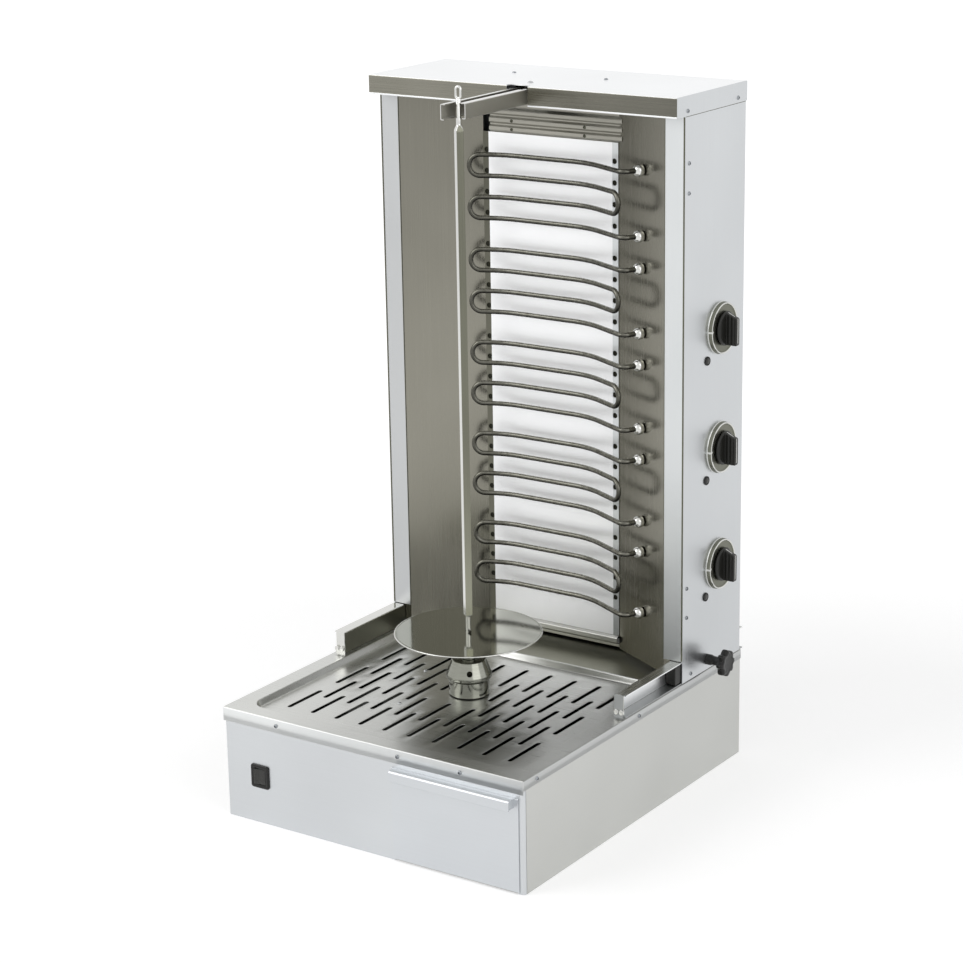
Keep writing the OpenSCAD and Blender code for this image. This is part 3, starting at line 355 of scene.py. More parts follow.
def make_piece(name, parts, material, body, slot, *nodes, crisp=35):
    """A mesh in metres from parts in millimetres, closed, facing outwards, riding on a body and standing
    in for the named nodes."""
    points, faces = joined(parts)
    mesh = bpy.data.meshes.new(name)
    mesh.from_pydata((points * MM).tolist(), [], faces.tolist())
    shell = bmesh.new()
    shell.from_mesh(mesh)
    bmesh.ops.remove_doubles(shell, verts=shell.verts, dist=MERGE)
    bmesh.ops.recalc_face_normals(shell, faces=shell.faces)
    shell.to_mesh(mesh)
    shell.free()
    mesh.shade_smooth()
    mesh.set_sharp_from_angle(angle=math.radians(crisp))
    mesh.materials.append(material)
    piece = new_object(name, mesh)
    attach(piece, body)
    if nodes:
        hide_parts(*nodes)
    print(name, "has", len(mesh.polygons), "faces")
    return piece


def face_where(piece, material, chosen):
    """Gives a second material to the faces that a test of their normals and centres chooses. Both come with
    the axis first, so normal[2] tells how much each face looks up; the centres are in millimetres."""
    polygons = piece.data.polygons
    normal = np.empty(len(polygons) * 3)
    centre = np.empty(len(polygons) * 3)
    index = np.empty(len(polygons), dtype=np.int32)
    polygons.foreach_get("normal", normal)
    polygons.foreach_get("center", centre)
    polygons.foreach_get("material_index", index)
    piece.data.materials.append(material)
    index[chosen(normal.reshape(-1, 3).T, centre.reshape(-1, 3).T / MM)] = len(piece.data.materials) - 1
    polygons.foreach_set("material_index", index)


print("points merge when they are closer than", MERGE / MM, "mm")

# %% [markdown]
# ## Paths with rounded corners
# Bent tube and folded sheet are both drawn the same way: a line with corners, and a radius at each corner.
# An arc that touches both legs starts at the radius over the tangent of half the angle from the corner, and
# its centre lies on the line that halves the angle. Two extra points close to each arc keep the long flat
# legs flat when the mesh is shaded smooth.

# %% Rounded paths
def unit(v):
    """The direction of each vector, as a vector of length one."""
    return v / np.linalg.norm(v, axis=-1, keepdims=True)


def rounded_path(corners, radii, steps=8, keep=0.4):
    """The line through the corners, with each inner corner replaced by an arc that touches its two legs."""
    corners = np.asarray(corners, dtype=float)
    radii = np.broadcast_to(radii, len(corners) - 2)
    pieces = [corners[:1]]
    for before, corner, after, radius in zip(corners[:-2], corners[1:-1], corners[2:], radii):
        to_before = unit(before - corner)
        to_after = unit(after - corner)
        half = math.acos(np.clip(np.dot(to_before, to_after), -1, 1)) / 2
        reach = radius / math.tan(half)
        centre = corner + unit(to_before + to_after) * radius / math.sin(half)
        first = unit(corner + to_before * reach - centre)
        last = unit(corner + to_after * reach - centre)
        sweep = math.pi - 2 * half
        t = np.linspace(0, 1, steps + 1)[:, None]
        arc = centre + radius * (np.sin((1 - t) * sweep) * first + np.sin(t * sweep) * last) / math.sin(sweep)
        lead = corner + to_before * (reach + keep)
        trail = corner + to_after * (reach + keep)
        pieces.append(np.concatenate([lead[None], arc, trail[None]]))
    return np.concatenate([*pieces, corners[-1:]])


def directions(path):
    """The direction along a line at each of its points, from the two legs that meet there."""
    legs = unit(np.diff(path, axis=0))
    return unit(np.concatenate([legs[:1], legs[:-1] + legs[1:], legs[-1:]]))


def left_normals(path):
    """The direction to the left of a flat path at each of its points."""
    along = directions(path)
    return np.stack([-along[:, 1], along[:, 0]], axis=-1)


print("a rounded quarter turn has", len(rounded_path([[0, 0], [10, 0], [10, 10]], 2.0)), "points")

# %% [markdown]
# ## The heater tubes
# Each of the five heating elements is one tube, bent on a press: four level passes that run along the bright
# back, turn forward beside the angled panels, and join in three upright hairpins. Its two ends turn out
# into the right-hand panel. The plan of a pass follows from the well behind it: the back's half width, and
# two panels that turn forward by one angle.

# %% Plan of one element
STRIP_IN = 254.0
WELL_HALF = 130.0
WELL_Y = 257.0
LINER_Y = 192.5
WELL_TURN = math.atan2(WELL_Y - LINER_Y, STRIP_IN - WELL_HALF)
WELL_CORNER = np.array([WELL_HALF, WELL_Y])
LEG_DIRECTION = np.array([math.cos(WELL_TURN), -math.sin(WELL_TURN)])
PANEL_OUT = np.array([math.sin(WELL_TURN), math.cos(WELL_TURN)])
MIRROR = np.array([-1.0, 1.0])
LEG_OFF = 38.0
RUN_OFF = 19.0
RIGHT_LEG = 76.0
LEFT_LEG = 34.0
STUB_ALONG = 73.5
STUB_PAST = 8.0
LEG_BASE = WELL_CORNER - LEG_OFF * PANEL_OUT
RUN_CORNER = LEG_BASE + LEG_DIRECTION * (LEG_BASE[1] - WELL_Y + RUN_OFF) / math.sin(WELL_TURN)
RIGHT_LEG_END = RUN_CORNER + RIGHT_LEG * LEG_DIRECTION
LEFT_LEG_END = (RUN_CORNER + LEFT_LEG * LEG_DIRECTION) * MIRROR
STUB_POINT = LEG_BASE + STUB_ALONG * LEG_DIRECTION
STUB_FOOT = STUB_POINT + (LEG_OFF + STUB_PAST) * PANEL_OUT
print("the passes turn forward by", round(math.degrees(WELL_TURN), 1), "degrees at", RUN_CORNER.round(1))

# %% [markdown]
# ## One line, one sweep
# The tube could be modelled pass by pass and joined, but a real one has no joints. So the passes and the
# half circles between them are one line of points, and one formula carries a circle along it. The sideways
# direction of the circle is always the level normal of the pass, so the tube never twists at a hairpin.

# %% Sweep the five tubes
BEND = 130.0
STUB_BEND = 12.0
PASS_PITCH = 35.0
FIRST_PASS = 1021.0
ELEMENT_PITCH = 157.5
TUBE = 8.0


def full_turn(count):
    """The angles of a full turn in even steps."""
    return np.linspace(0, 2 * math.pi, count, endpoint=False)


def heater_line(top):
    """Centre points and sideways directions: pass, hairpin, pass, hairpin, pass, hairpin, pass."""
    long_pass = rounded_path([STUB_FOOT, STUB_POINT, RUN_CORNER, RUN_CORNER * MIRROR, LEFT_LEG_END],
                             [STUB_BEND, BEND, BEND], steps=16)
    short_pass = rounded_path([RIGHT_LEG_END, RUN_CORNER, RUN_CORNER * MIRROR, LEFT_LEG_END], BEND, steps=16)
    turn_angle = np.linspace(math.pi / 2, -math.pi / 2, 19)[1:-1]
    points = []
    sides = []
    for count, (path, way) in enumerate([(long_pass, 1), (short_pass, -1), (short_pass, 1), (long_pass, -1)]):
        plan = path[::way]
        side = left_normals(path)[::way]
        height = top - count * PASS_PITCH
        points.append(np.column_stack([plan, np.full(len(plan), height)]))
        sides.append(np.column_stack([side, np.zeros(len(side))]))
        if count < 3:
            ahead = unit(plan[-1] - plan[-2])
            out = plan[-1] + ahead * PASS_PITCH / 2 * np.cos(turn_angle)[:, None]
            rise = height - PASS_PITCH / 2 + PASS_PITCH / 2 * np.sin(turn_angle)
            points.append(np.column_stack([out, rise]))
            sides.append(np.broadcast_to([*side[-1], 0.0], (len(rise), 3)))
    return np.concatenate(points), np.concatenate(sides)


def swept_tube(line, side, radius, count=20, closed=False):
    """Circles round each point of a line: side direction times cos a, plus the one across it times sin a."""
    along = unit(np.roll(line, -1, axis=0) - np.roll(line, 1, axis=0)) if closed else directions(line)
    across = np.cross(along, side)
    a = full_turn(count)[None, :, None]
    grid = line[:, None] + radius * (np.cos(a) * side[:, None] + np.sin(a) * across[:, None])
    if not closed:
        ends = np.broadcast_to(line[[0, -1]][:, None], (2, count, 3))
        grid = np.concatenate([ends[:1], grid, ends[1:]])
    return as_part(grid, wrap_rows=closed, wrap_cols=True)


for count in range(5):
    tube = swept_tube(*heater_line(FIRST_PASS - count * ELEMENT_PITCH), TUBE / 2)
    make_piece(f"heater_tube_{count + 1}", [tube], heater_steel, "tower", "element_steel",
               f"element_{count + 1}", crisp=50)

# %% [markdown]
# ## The heater fittings
# Where each tube end goes through the angled panel it has a bright turned fitting: a ball that sits on a
# short neck, with a small groove where the tube comes out of it. The band next to the panel is near black:
# painted shade where the fitting meets the panel. It is a lathe shape: a profile of radius and height
# turned once round its axis. The ten fittings are the same shape set on ten feet.

# %% Turned shapes
def round_part(radius, a, height):
    """A part round +Z from rows of radii and heights: x = radius cos a, y = radius sin a, z = height."""
    radius = np.broadcast_to(radius, (len(radius), len(a)))
    rows = [radius * np.cos(a), radius * np.sin(a), np.broadcast_to(height, radius.shape)]
    return as_part(np.stack(rows, axis=-1), wrap_cols=True)


def turned(profile, steps=32):
    """Each (radius, height) of the profile turned round the upright axis."""
    profile = np.asarray(profile, dtype=float)
    return round_part(profile[:, :1], full_turn(steps), profile[:, 1:])


def set_on(part, foot, axis):
    """A part drawn round +Z moved so that its origin is at the foot and its height runs along the axis."""
    points, faces = part
    axis = unit(np.asarray(axis, dtype=float))
    first = unit(np.cross((0, 0, 1), axis))
    return np.asarray(foot) + points @ np.stack([first, np.cross(axis, first), axis]), faces


BALL = 10.0
BALL_OUT = 7.0
FOOT_SHADE_DEPTH = BALL_OUT - BALL / 2
ball_angle = np.radians(np.linspace(-44, 58, 16))
ball = np.column_stack([BALL * np.cos(ball_angle), BALL_OUT + BALL * np.sin(ball_angle)]).tolist()
fitting = turned([[0, 0], [7.2, 0], *ball, [5.2, 15.2], [4.6, 14.6], [4.15, 14.6], [4.15, 15], [0, 15]], 40)
feet = [(*(WELL_CORNER + STUB_ALONG * LEG_DIRECTION), FIRST_PASS - e * ELEMENT_PITCH - p * PASS_PITCH)
        for e in range(5) for p in (0, 3)]
fittings = make_piece("heater_fittings", [set_on(fitting, foot, (*-PANEL_OUT, 0.0)) for foot in feet],
                      bright_steel, "tower", "zinc", "element_ferrules")
# Painted shade: the band of each fitting next to the panel is near black.
face_where(fittings, shade_dark_steel,
           lambda normal, centre: PANEL_OUT @ (WELL_CORNER[:, None] - centre[:2]) < FOOT_SHADE_DEPTH)

# %% [markdown]
# ## Folded sheet
# Most of the grill is sheet metal, and a fold in sheet metal is never sharp: it has an inner radius of about
# the sheet's thickness. So a folded part is its line with rounded corners, a second line one thickness to
# the side, and the strip between them carried straight along X, Y or Z. The bright edge that a viewer
# sees along each fold is that radius catching the light.

# %% Folded sheet along an axis
def sheet_loop(path, thick):
    """A path and its twin one thickness to the left as one loop, and the quads that close its inside."""
    twin = path + thick * left_normals(path)
    i = np.arange(len(path) - 1)
    last = 2 * len(path) - 1
    return np.concatenate([path, twin[::-1]]), np.stack([i, i + 1, last - 1 - i, last - i], axis=-1)


def folded_sheet(corners, radius, thick, axis, start, stop, steps=6):
    """A sheet with rounded corners carried from start to stop along an axis.
    The corners are (y, z) along x, (x, z) along y and (x, y) along z."""
    path = rounded_path(corners, radius, steps) if len(corners) > 2 else np.asarray(corners, dtype=float)
    loop, lid = sheet_loop(path, thick)
    ends = np.repeat([float(start), float(stop)], len(loop))
    points = np.insert(np.tile(loop, (2, 1)), "xyz".index(axis), ends, axis=1)
    return points, np.concatenate([grid_faces(2, len(loop), wrap_cols=True), lid, lid + len(loop)])


def mirrored(part):
    """The same part on the other side of the middle."""
    points, faces = part
    return points * np.array([-1.0, 1.0, 1.0]), faces[:, ::-1]


def on_both_sides(*parts):
    """Each part and its mirror image."""
    return [copy for part in parts for copy in (part, mirrored(part))]


print("a folded corner has", len(folded_sheet([[0, 0], [9, 0], [9, 9]], 2, 1, "x", 0, 5)[1]), "faces")

# %% [markdown]
# ## The reflectors
# The well behind the spit throws the heat forward. Its two angled panels are bright annealed sheet. Their
# dark tone is painted reflection of a dark room, darker still towards the top. Their front edges fold in
# behind the strips of the tower, and a flange laps the white back by a few millimetres. The part of the
# flange that lies behind the back is near black: painted shade.

# %% Make the reflectors
LINER = 1.2
REFLECTOR_LOW = 199.0
REFLECTOR_HIGH = 1112.0
BACK_LOW = 222.0
BACK_HIGH = 1054.0
BACK_HALF = 119.0
LAP = 4.0
panel = folded_sheet([[STRIP_IN + 12, LINER_Y], [STRIP_IN, LINER_Y], WELL_CORNER], 1.5, -LINER, "z",
                     REFLECTOR_LOW, REFLECTOR_HIGH)
flange = folded_sheet([WELL_CORNER, [BACK_HALF - LAP, WELL_Y]], 0, -LINER, "z", BACK_LOW, BACK_HIGH)
for side, parts in (("right", [panel, flange]), ("left", [mirrored(panel), mirrored(flange)])):
    reflector = make_piece(side + "_reflector", parts, reflector_steel, "tower", "steel_liner",
                           "reflector_" + side)
    # Painted shade: the flange behind the white back is near black.
    face_where(reflector, shade_dark_steel, lambda normal, centre: abs(centre[0]) < WELL_HALF + 0.5)

# %% [markdown]
# ## The header and the lip
# Above the white back a ribbed header closes the well. Three pressed ribs make the thin sheet stiff, so it
# stays flat when it is hot. Below the back a folded lip drops to the deck. Each is one path with small
# radii, carried straight across.

# %% Make the ribbed header and the bottom lip
RIDGE = 14.0
RIDGE_DEEP = 5.0
SLOPE = 4.0
HEADER_LEFT = -114.2
HEADER_RIGHT = 140.0
HEADER_RISE = 17.0
LIP_LOW = 206.0
LIP_FOOT = 191.0
LIP_BACK = WELL_Y + 24
face_y = WELL_Y - LINER
rib_y = face_y - RIDGE_DEEP
header_path = [[WELL_Y, BACK_HIGH - 12], [WELL_Y, BACK_HIGH]]
for low in BACK_HIGH + RIDGE * np.arange(3):
    header_path += [[rib_y, low + SLOPE], [rib_y, low + RIDGE - SLOPE], [face_y, low + RIDGE]]
header_path += [[face_y, BACK_HIGH + 3 * RIDGE + HEADER_RISE]]
make_piece("ribbed_header", [folded_sheet(header_path, 2.6, -LINER, "x", HEADER_LEFT, HEADER_RIGHT)],
           header_steel, "tower", "steel_liner", "header")
lip_path = [[WELL_Y, BACK_LOW], [rib_y, BACK_LOW - SLOPE], [rib_y, LIP_LOW + SLOPE],
            [WELL_Y, LIP_LOW], [LIP_BACK, LIP_LOW], [LIP_BACK, LIP_FOOT]]
make_piece("well_lip", [folded_sheet(lip_path, 1.6, LINER, "x", LINER - WELL_HALF, WELL_HALF - LINER)],
           lip_steel, "tower", "steel_bright", "bottom_lip")

# %% [markdown]
# ## The cover
# The cover is a shallow tray turned upside down over the tower: a top with a fold down at the front, the
# back and each side. A notch in the front lets the spit's arm through. It is made here as three strips
# of folded sheet side by side, the middle one set back by the depth of the notch, and two plain sides.
# The front fold is the same annealed sheet as the reflectors, so its faces take a dark finish like theirs:
# painted reflection of a dark room. The side folds take the tower's side finish, greyer than the top:
# painted shade.

# %% Make the cover
SHEET = 1.5
SHEET_BEND = 2.2
COVER_HALF = 291.5
TOWER_HALF = 290.0
COVER_FRONT = 163.0
COVER_BACK = 384.5
COVER_LOW = 1116.0
COVER_TOP = 1148.0
NOTCH_HALF = 20.0
NOTCH_DEEP = 12.0
FACING = 0.8
fold_down = [[COVER_BACK, COVER_TOP], [COVER_BACK, COVER_LOW]]
whole = [[COVER_FRONT, COVER_LOW], [COVER_FRONT, COVER_TOP], *fold_down]
middle = [[COVER_FRONT + NOTCH_DEEP, COVER_TOP], *fold_down]
strips = [folded_sheet(path, SHEET_BEND, -SHEET, "x", start, stop)
          for path, start, stop in ((whole, NOTCH_HALF, COVER_HALF), (whole, -COVER_HALF, -NOTCH_HALF),
                                    (middle, -NOTCH_HALF, NOTCH_HALF))]
side = folded_sheet([[COVER_HALF, COVER_LOW], [COVER_HALF, COVER_TOP - SHEET]], 0, SHEET, "y",
                    COVER_FRONT + SHEET, COVER_BACK - SHEET)
cover = make_piece("tower_cover", strips + on_both_sides(side), white_steel, "tower", "steel_panel",
                   "top_cover")
# Painted reflection and shade: the cover's front faces take a dark finish and its side faces a greyer one
# than the top.
face_where(cover, valance_steel,
           lambda normal, centre: (normal[1] < -FACING) & (centre[1] < COVER_FRONT + NOTCH_DEEP / 2))
face_where(cover, tower_side_steel,
           lambda normal, centre: (abs(normal[0]) > FACING) & (abs(centre[0]) > TOWER_HALF - 10))

# %% [markdown]
# ## Hem and seams
# Thin lines tell a viewer that a box is made of sheets. The cover's front edge is hemmed, and the hem keeps
# the white finish of the top, which draws a bright line under the dark front fold: a painted highlight.
# Where two sheets meet there is a narrow joint, which draws a dark one; the dark strip under each side fold
# of the cover is painted shadow, where the fold overlaps the side panel. Both could be painted on, but as
# narrow strips of their own they stay right from every side.

# %% Make the hem of the cover's front and the seams of the tower
HEM = 2.6
SEAM = 1.3
SEAM_LOW = 227.0
CORNER_Y = COVER_FRONT + 27.6
# Painted highlight: the hem keeps the white finish of the top, a bright line under the dark front fold.
hem_path = [[COVER_FRONT + 1.4, COVER_LOW], [COVER_FRONT - 0.9, COVER_LOW],
            [COVER_FRONT - 0.9, COVER_LOW + HEM], [COVER_FRONT + 0.2, COVER_LOW + HEM]]
make_piece("cover_hem", on_both_sides(folded_sheet(hem_path, 0.3, -0.35, "x", NOTCH_HALF, COVER_HALF, 3)),
           white_steel, "tower", "steel_panel")


def upright_seam(left, right, y):
    """A narrow strip from the tower's foot to the cover."""
    return folded_sheet([[left, y], [right, y]], 0, 1.0, "z", SEAM_LOW, COVER_LOW - SEAM)


# Painted shadow: a dark strip under each side fold of the cover, where the fold overlaps the side panel.
shadow_under_cover = folded_sheet([[COVER_FRONT + 30, COVER_LOW - SEAM], [COVER_BACK - 2, COVER_LOW - SEAM]], 0,
                           SEAM, "x", TOWER_HALF - 0.5, TOWER_HALF + 0.35)
seams = on_both_sides(shadow_under_cover, upright_seam(TOWER_HALF - 2.8, TOWER_HALF - 0.2, CORNER_Y),
                      upright_seam(STRIP_IN - 0.4, STRIP_IN + 0.7, CORNER_Y + 0.1))
make_piece("panel_seams", seams, olive_steel, "tower", "steel_panel")

# %% [markdown]
# ## The arm
# The arm that steadies the skewer is a channel with its slot on top: web below, two walls, and a lip turned
# in over each wall. Its right wall is cut back at the tip so the skewer's rod can be slipped in, and the
# web is slotted as far as the tower can slide. Each half is one folded strip, and behind the slot
# the two halves meet in one web.

# %% Make the arm
ARM_HALF = 15.0
ARM_TOP = 1143.0
ARM_LOW = 1118.0
ARM_TIP = -27.0
ARM_END = 275.0
WEB_SLOT = 9.0
LIP_SLOT = 6.5
ARM_CUT = -3.0
SLOT_END = 118.0


def arm_half(start, stop, web_in):
    """Right half of the channel: web from web_in outwards, wall up, lip in to the slot."""
    path = [[web_in, ARM_LOW], [ARM_HALF, ARM_LOW], [ARM_HALF, ARM_TOP], [LIP_SLOT, ARM_TOP]]
    return folded_sheet(path, 2.0, SHEET, "y", start, stop)


arm = make_piece("spit_arm_channel", [arm_half(ARM_CUT, SLOT_END, WEB_SLOT), arm_half(SLOT_END, ARM_END, 0.0),
                                      mirrored(arm_half(ARM_TIP, SLOT_END, WEB_SLOT)),
                                      mirrored(arm_half(SLOT_END, ARM_END, 0.0))],
                 header_steel, "arm", "steel_bright", "spit_arm")
# Painted highlight: the channel's top lips and the front of its tip take a brighter finish than its walls.
face_where(arm, bright_steel, lambda normal, centre: (normal[2] > 0.5) | (normal[1] < -FACING))

# %% [markdown]
# ## The skewer
# The skewer is one bar. Its section changes along its height from round, where it stands in the hub, to
# square, where the meat is held, and back to a round rod under the arm. A superellipse does this in one
# formula: the radius at angle a is h over the n-th root of |cos a|^n + |sin a|^n, which is a circle at n = 2
# and nearly a square at n = 18. So h and n are two curves over the height. The eye on top is a bent wire.

# %% Make the skewer
BAR_TURN = math.radians(-36)
STEM_LOW = 212.5
BAR_LOW = 313.0
BAR_HIGH = 1108.0
ROD_TOP = 1149.0
ROD_R = 4.0
SQUARER = 16.0
z = np.concatenate([[STEM_LOW, STEM_LOW, 250.0, BAR_LOW - 5], np.linspace(BAR_LOW - 3, BAR_LOW + 1, 7),
                    [BAR_LOW + 3, 500.0, 800.0, BAR_HIGH - 11], np.linspace(BAR_HIGH - 8, BAR_HIGH, 9),
                    [BAR_HIGH + 3, ROD_TOP - 1, ROD_TOP, ROD_TOP]])[:, None]
square = np.interp(z, [BAR_LOW - 3, BAR_LOW, BAR_HIGH - 8, BAR_HIGH], [0, 1, 1, 0])
half_side = ROD_R + 2.0 * square
half_side[[0, -1]] = 0.0
half_side[-2] = ROD_R - 0.6
power = 2.0 + SQUARER * square ** 2
a = full_turn(96)
reach = half_side * (np.abs(np.cos(a)) ** power + np.abs(np.sin(a)) ** power) ** (-1 / power)
skewer = make_piece("skewer", [round_part(reach, a + BAR_TURN, z)], bright_steel, "spit", "steel_bright",
                    "spit_bar", "spit_eye", crisp=40)
# Painted shade: the broad face that looks along the bar's turn is darker than the others.
broad_side = np.array([math.cos(BAR_TURN), math.sin(BAR_TURN), 0.0])
face_where(skewer, skewer_shade_side, lambda normal, centre: (broad_side @ normal > 0.9)
           & (centre[2] < BAR_HIGH) & (centre[2] > BAR_LOW))
EYE_R = 4.0
EYE_RISE = 10.0
WIRE_R = 2.0
eye_turn = BAR_TURN + math.pi / 4
half_turn = np.linspace(0, math.pi, 17)
arch = EYE_R * np.column_stack([np.cos(half_turn), np.sin(half_turn)])
flat = np.concatenate([arch + [0, EYE_RISE], -arch])
eye_line = np.column_stack([flat[:, 0] * math.cos(eye_turn), flat[:, 0] * math.sin(eye_turn),
                            flat[:, 1] + ROD_TOP + EYE_R])
eye_side = np.broadcast_to([math.sin(eye_turn), -math.cos(eye_turn), 0.0], eye_line.shape)
make_piece("skewer_eye", [swept_tube(eye_line, eye_side, WIRE_R, 16, closed=True)], bright_steel, "spit",
           "steel_bright")

# %% [markdown]
# ## The meat disc and its collar
# The disc that carries the meat is polished plate with a rolled rim, and it stands on a collar. Both are
# lathe shapes. A few rings close to the rim keep the plate's reflection true, because smooth shading would
# otherwise bend it from the rim inwards.

# %% Make the disc and the collar
DISC_LOW = 282.0
DISC_TOP = DISC_LOW + 1.9
DISC_R = 121.0
HUB_TOP = 238.0
rim = np.radians(np.linspace(-90, 90, 9))
rolled = np.column_stack([DISC_R - 1 + np.cos(rim), DISC_LOW + 1 + np.sin(rim)]).tolist()
disc_profile = [[0, DISC_LOW], [DISC_R - 4, DISC_LOW], [DISC_R - 3, DISC_LOW], *rolled,
                [DISC_R - 3, DISC_LOW + 2]]
disc_profile += [[r, DISC_TOP] for r in (DISC_R - 3.4, DISC_R - 3.8, DISC_R - 4.4, 1, 0)]
disc = make_piece("polished_disc", [turned(disc_profile, 160)], mirror_steel, "spit", "steel_bright",
                  "meat_disc", crisp=50)
# Painted highlight: the rolled rim takes a brighter finish than the polished plate.
face_where(disc, bright_steel, lambda normal, centre: np.hypot(*centre[:2]) > DISC_R - 1.6)
collar_profile = [[0, HUB_TOP + 0.3], [10.4, HUB_TOP + 0.3], [11, HUB_TOP + 0.9], [11, DISC_LOW - 0.6],
                  [10.6, DISC_LOW], [0, DISC_LOW]]
make_piece("disc_collar_turned", [turned(collar_profile, 48)], turned_steel, "spit", "steel_bright",
           "disc_collar")

# %% [markdown]
# ## The hub
# The spit drops into a turned hub with two set screws. The hub is a lathe shape with one addition: near each
# screw the radius is pressed in by a steep-sided dent, so one formula, radius = profile - depth(a, z), gives
# the screw holes without any cutting.

# %% Make the hub
SCREW_Z = 222.0
HOLE_R = 4.0
HOLE_DEEP = 6.0
HOLE_FLOOR_R = 20.0
HOLE_BEARINGS = (-54, -144)
HUB_LOW = 178.5
HUB_R = 37.5
HUB_LOW_R = 33.0
HUB_TOP_R = 28.0
EDGE_Z = 213.0
slope = np.linspace(0.02, 0.97, 90)
cone = np.column_stack([HUB_R + (HUB_TOP_R - HUB_R) * slope, EDGE_Z + (HUB_TOP - EDGE_Z) * slope]).tolist()
profile = np.array([[0, HUB_LOW], [HUB_LOW_R - 0.6, HUB_LOW], [HUB_LOW_R, HUB_LOW + 0.6], [HUB_LOW_R, 203.6],
                    [HUB_LOW_R + 0.3, 204.0], [HUB_LOW_R + 0.7, 204.0], [HUB_R - 0.4, 207.5],
                    [HUB_R, 208.2], [HUB_R, EDGE_Z - 0.8], *cone, [HUB_TOP_R - 0.6, HUB_TOP],
                    [6.4, HUB_TOP], [5.6, HUB_TOP - 0.6], [5.6, HUB_TOP - 5], [0, HUB_TOP - 5]])
profile_r = profile[:, :1]
profile_z = profile[:, 1:]
a = full_turn(420)
radius = np.repeat(profile_r, len(a), axis=1)
for bearing in HOLE_BEARINGS:
    arc = (a - math.radians(bearing) + math.pi) % (2 * math.pi) - math.pi
    away = np.hypot(profile_r * arc, profile_z - SCREW_Z)
    radius -= HOLE_DEEP * np.clip((HOLE_R + 0.4 - away) / 0.5, 0, 1) * (profile_r > HUB_TOP_R)
turned_hub = make_piece("turned_hub", [round_part(radius, a, profile_z)], turned_steel, "drive",
                        "steel_bright", "coupling_hub", crisp=30)


def in_the_holes(normal, centre):
    """Chooses the faces of the hub's cone that lie further in than its skin: the two screw holes."""
    out = np.hypot(*centre[:2])
    skin = HUB_R + (HUB_TOP_R - HUB_R) * (centre[2] - EDGE_Z) / (HUB_TOP - EDGE_Z)
    return (abs(centre[2] - SCREW_Z) < HOLE_R + 1.5) & (out < skin - 0.4) & (out > HOLE_FLOOR_R)


# Painted shade: the two screw holes take a near-black finish.
face_where(turned_hub, shade_dark_steel, in_the_holes)

# %% [markdown]
# ## The deck's slots
# The deck is one pressed sheet: a flat rim, a shallow well with soft edges at top and bottom, staggered
# slots for the fat, and a skirt folded down all round. It is the most looked-at surface of the grill, so it
# is built as a real sheet. Round the slots the sheet is a set of cells, each a ring of points that runs from
# the cell's edge to the slot's outline. All the cells share their edge points with their neighbours.

# %% Outlines of a cell and its slot
SLOT_LONG = 88.0
SLOT_WIDE = 7.5
COLUMN = 23.75
ROW = 64.0
CELL = 2 * ROW
STEP_ACROSS = 6
STEP_ALONG = 8.0


def at_height(ring, height):
    """A flat ring of points lifted to a height."""
    return np.column_stack([ring, np.full(len(ring), height)])


def round_the_sides(left, right, front, rear, u, v, s, w):
    """Points anticlockwise round a rectangle. Along a side they run by u or s, and lie in by v or w."""
    corners = [(left + u, front + v), (right - w, front + s), (right - u, rear - v), (left + w, rear - s)]
    return np.concatenate([np.column_stack(side)[:-1] for side in corners])


def box_edge(left, right, front, rear, across, along):
    """Points round a plain rectangle, with a number of steps across and along."""
    u = np.linspace(0, right - left, across + 1)
    s = np.linspace(0, rear - front, along + 1)
    return round_the_sides(left, right, front, rear, u, 0 * u, s, 0 * s)


def cell_edge(x, low):
    """The edge of the cell of one slot."""
    return box_edge(x - COLUMN / 2, x + COLUMN / 2, low, low + CELL, STEP_ACROSS, round(CELL / STEP_ALONG))


def slot_edge(x, start, grow):
    """The slot's outline with as many points as its cell's edge: half circles at the ends, straight sides."""
    count = round(CELL / STEP_ALONG)
    radius = SLOT_WIDE / 2 + grow
    low = start + SLOT_WIDE / 2
    high = start + SLOT_LONG - SLOT_WIDE / 2
    end = np.linspace(math.pi, 2 * math.pi, STEP_ACROSS + 1)[:-1]
    bow = radius * np.column_stack([np.cos(end), np.sin(end)])
    straight = np.linspace(low, high, count + 1)[:-1]
    right_side = np.column_stack([np.full(count, x + radius), straight])
    left_side = np.column_stack([np.full(count, x - radius), low + high - straight])
    return np.concatenate([[x, low] + bow, right_side, [x, high] - bow, left_side])


print("points round one cell:", len(cell_edge(0.0, 0.0)))

# %% [markdown]
# ## Three kinds of cell
# Most cells have a slot. Beside the hub the deck has none, so the cells there are plain, and the middle one
# has the round hole for the motor shaft. The holes could be cut with a boolean, but that leaves long thin
# triangles that shade badly. Rings that follow each hole keep the sheet smooth up to its edge.

# %% Slotted, plain and shaft cells
FLOOR_Z = 177.0
SLOT_MARGIN = (CELL - SLOT_LONG) / 2
SHAFT_HOLE_R = 7.5
SHAFT_RING_R = 16.0


def slotted_cell(x, low):
    """Rings from the cell's edge to the slot, the last two rolled down a little as punching leaves them."""
    rings = [at_height(slot_edge(x, low + SLOT_MARGIN, grow), FLOOR_Z - drop)
             for grow, drop in ((0.9, 0.0), (0.3, 0.12), (0.0, 0.5))]
    return as_part(np.stack([at_height(cell_edge(x, low), FLOOR_Z), *rings]), wrap_cols=True)


def plain_cell(x, low, rows):
    """A flat patch with the same edge points as a slotted cell."""
    gx, gy = np.meshgrid(np.linspace(x - COLUMN / 2, x + COLUMN / 2, STEP_ACROSS + 1),
                         np.linspace(low, low + rows * ROW, round(rows * ROW / STEP_ALONG) + 1))
    return as_part(np.stack([gx, gy, np.full(gx.shape, FLOOR_Z)], axis=-1))


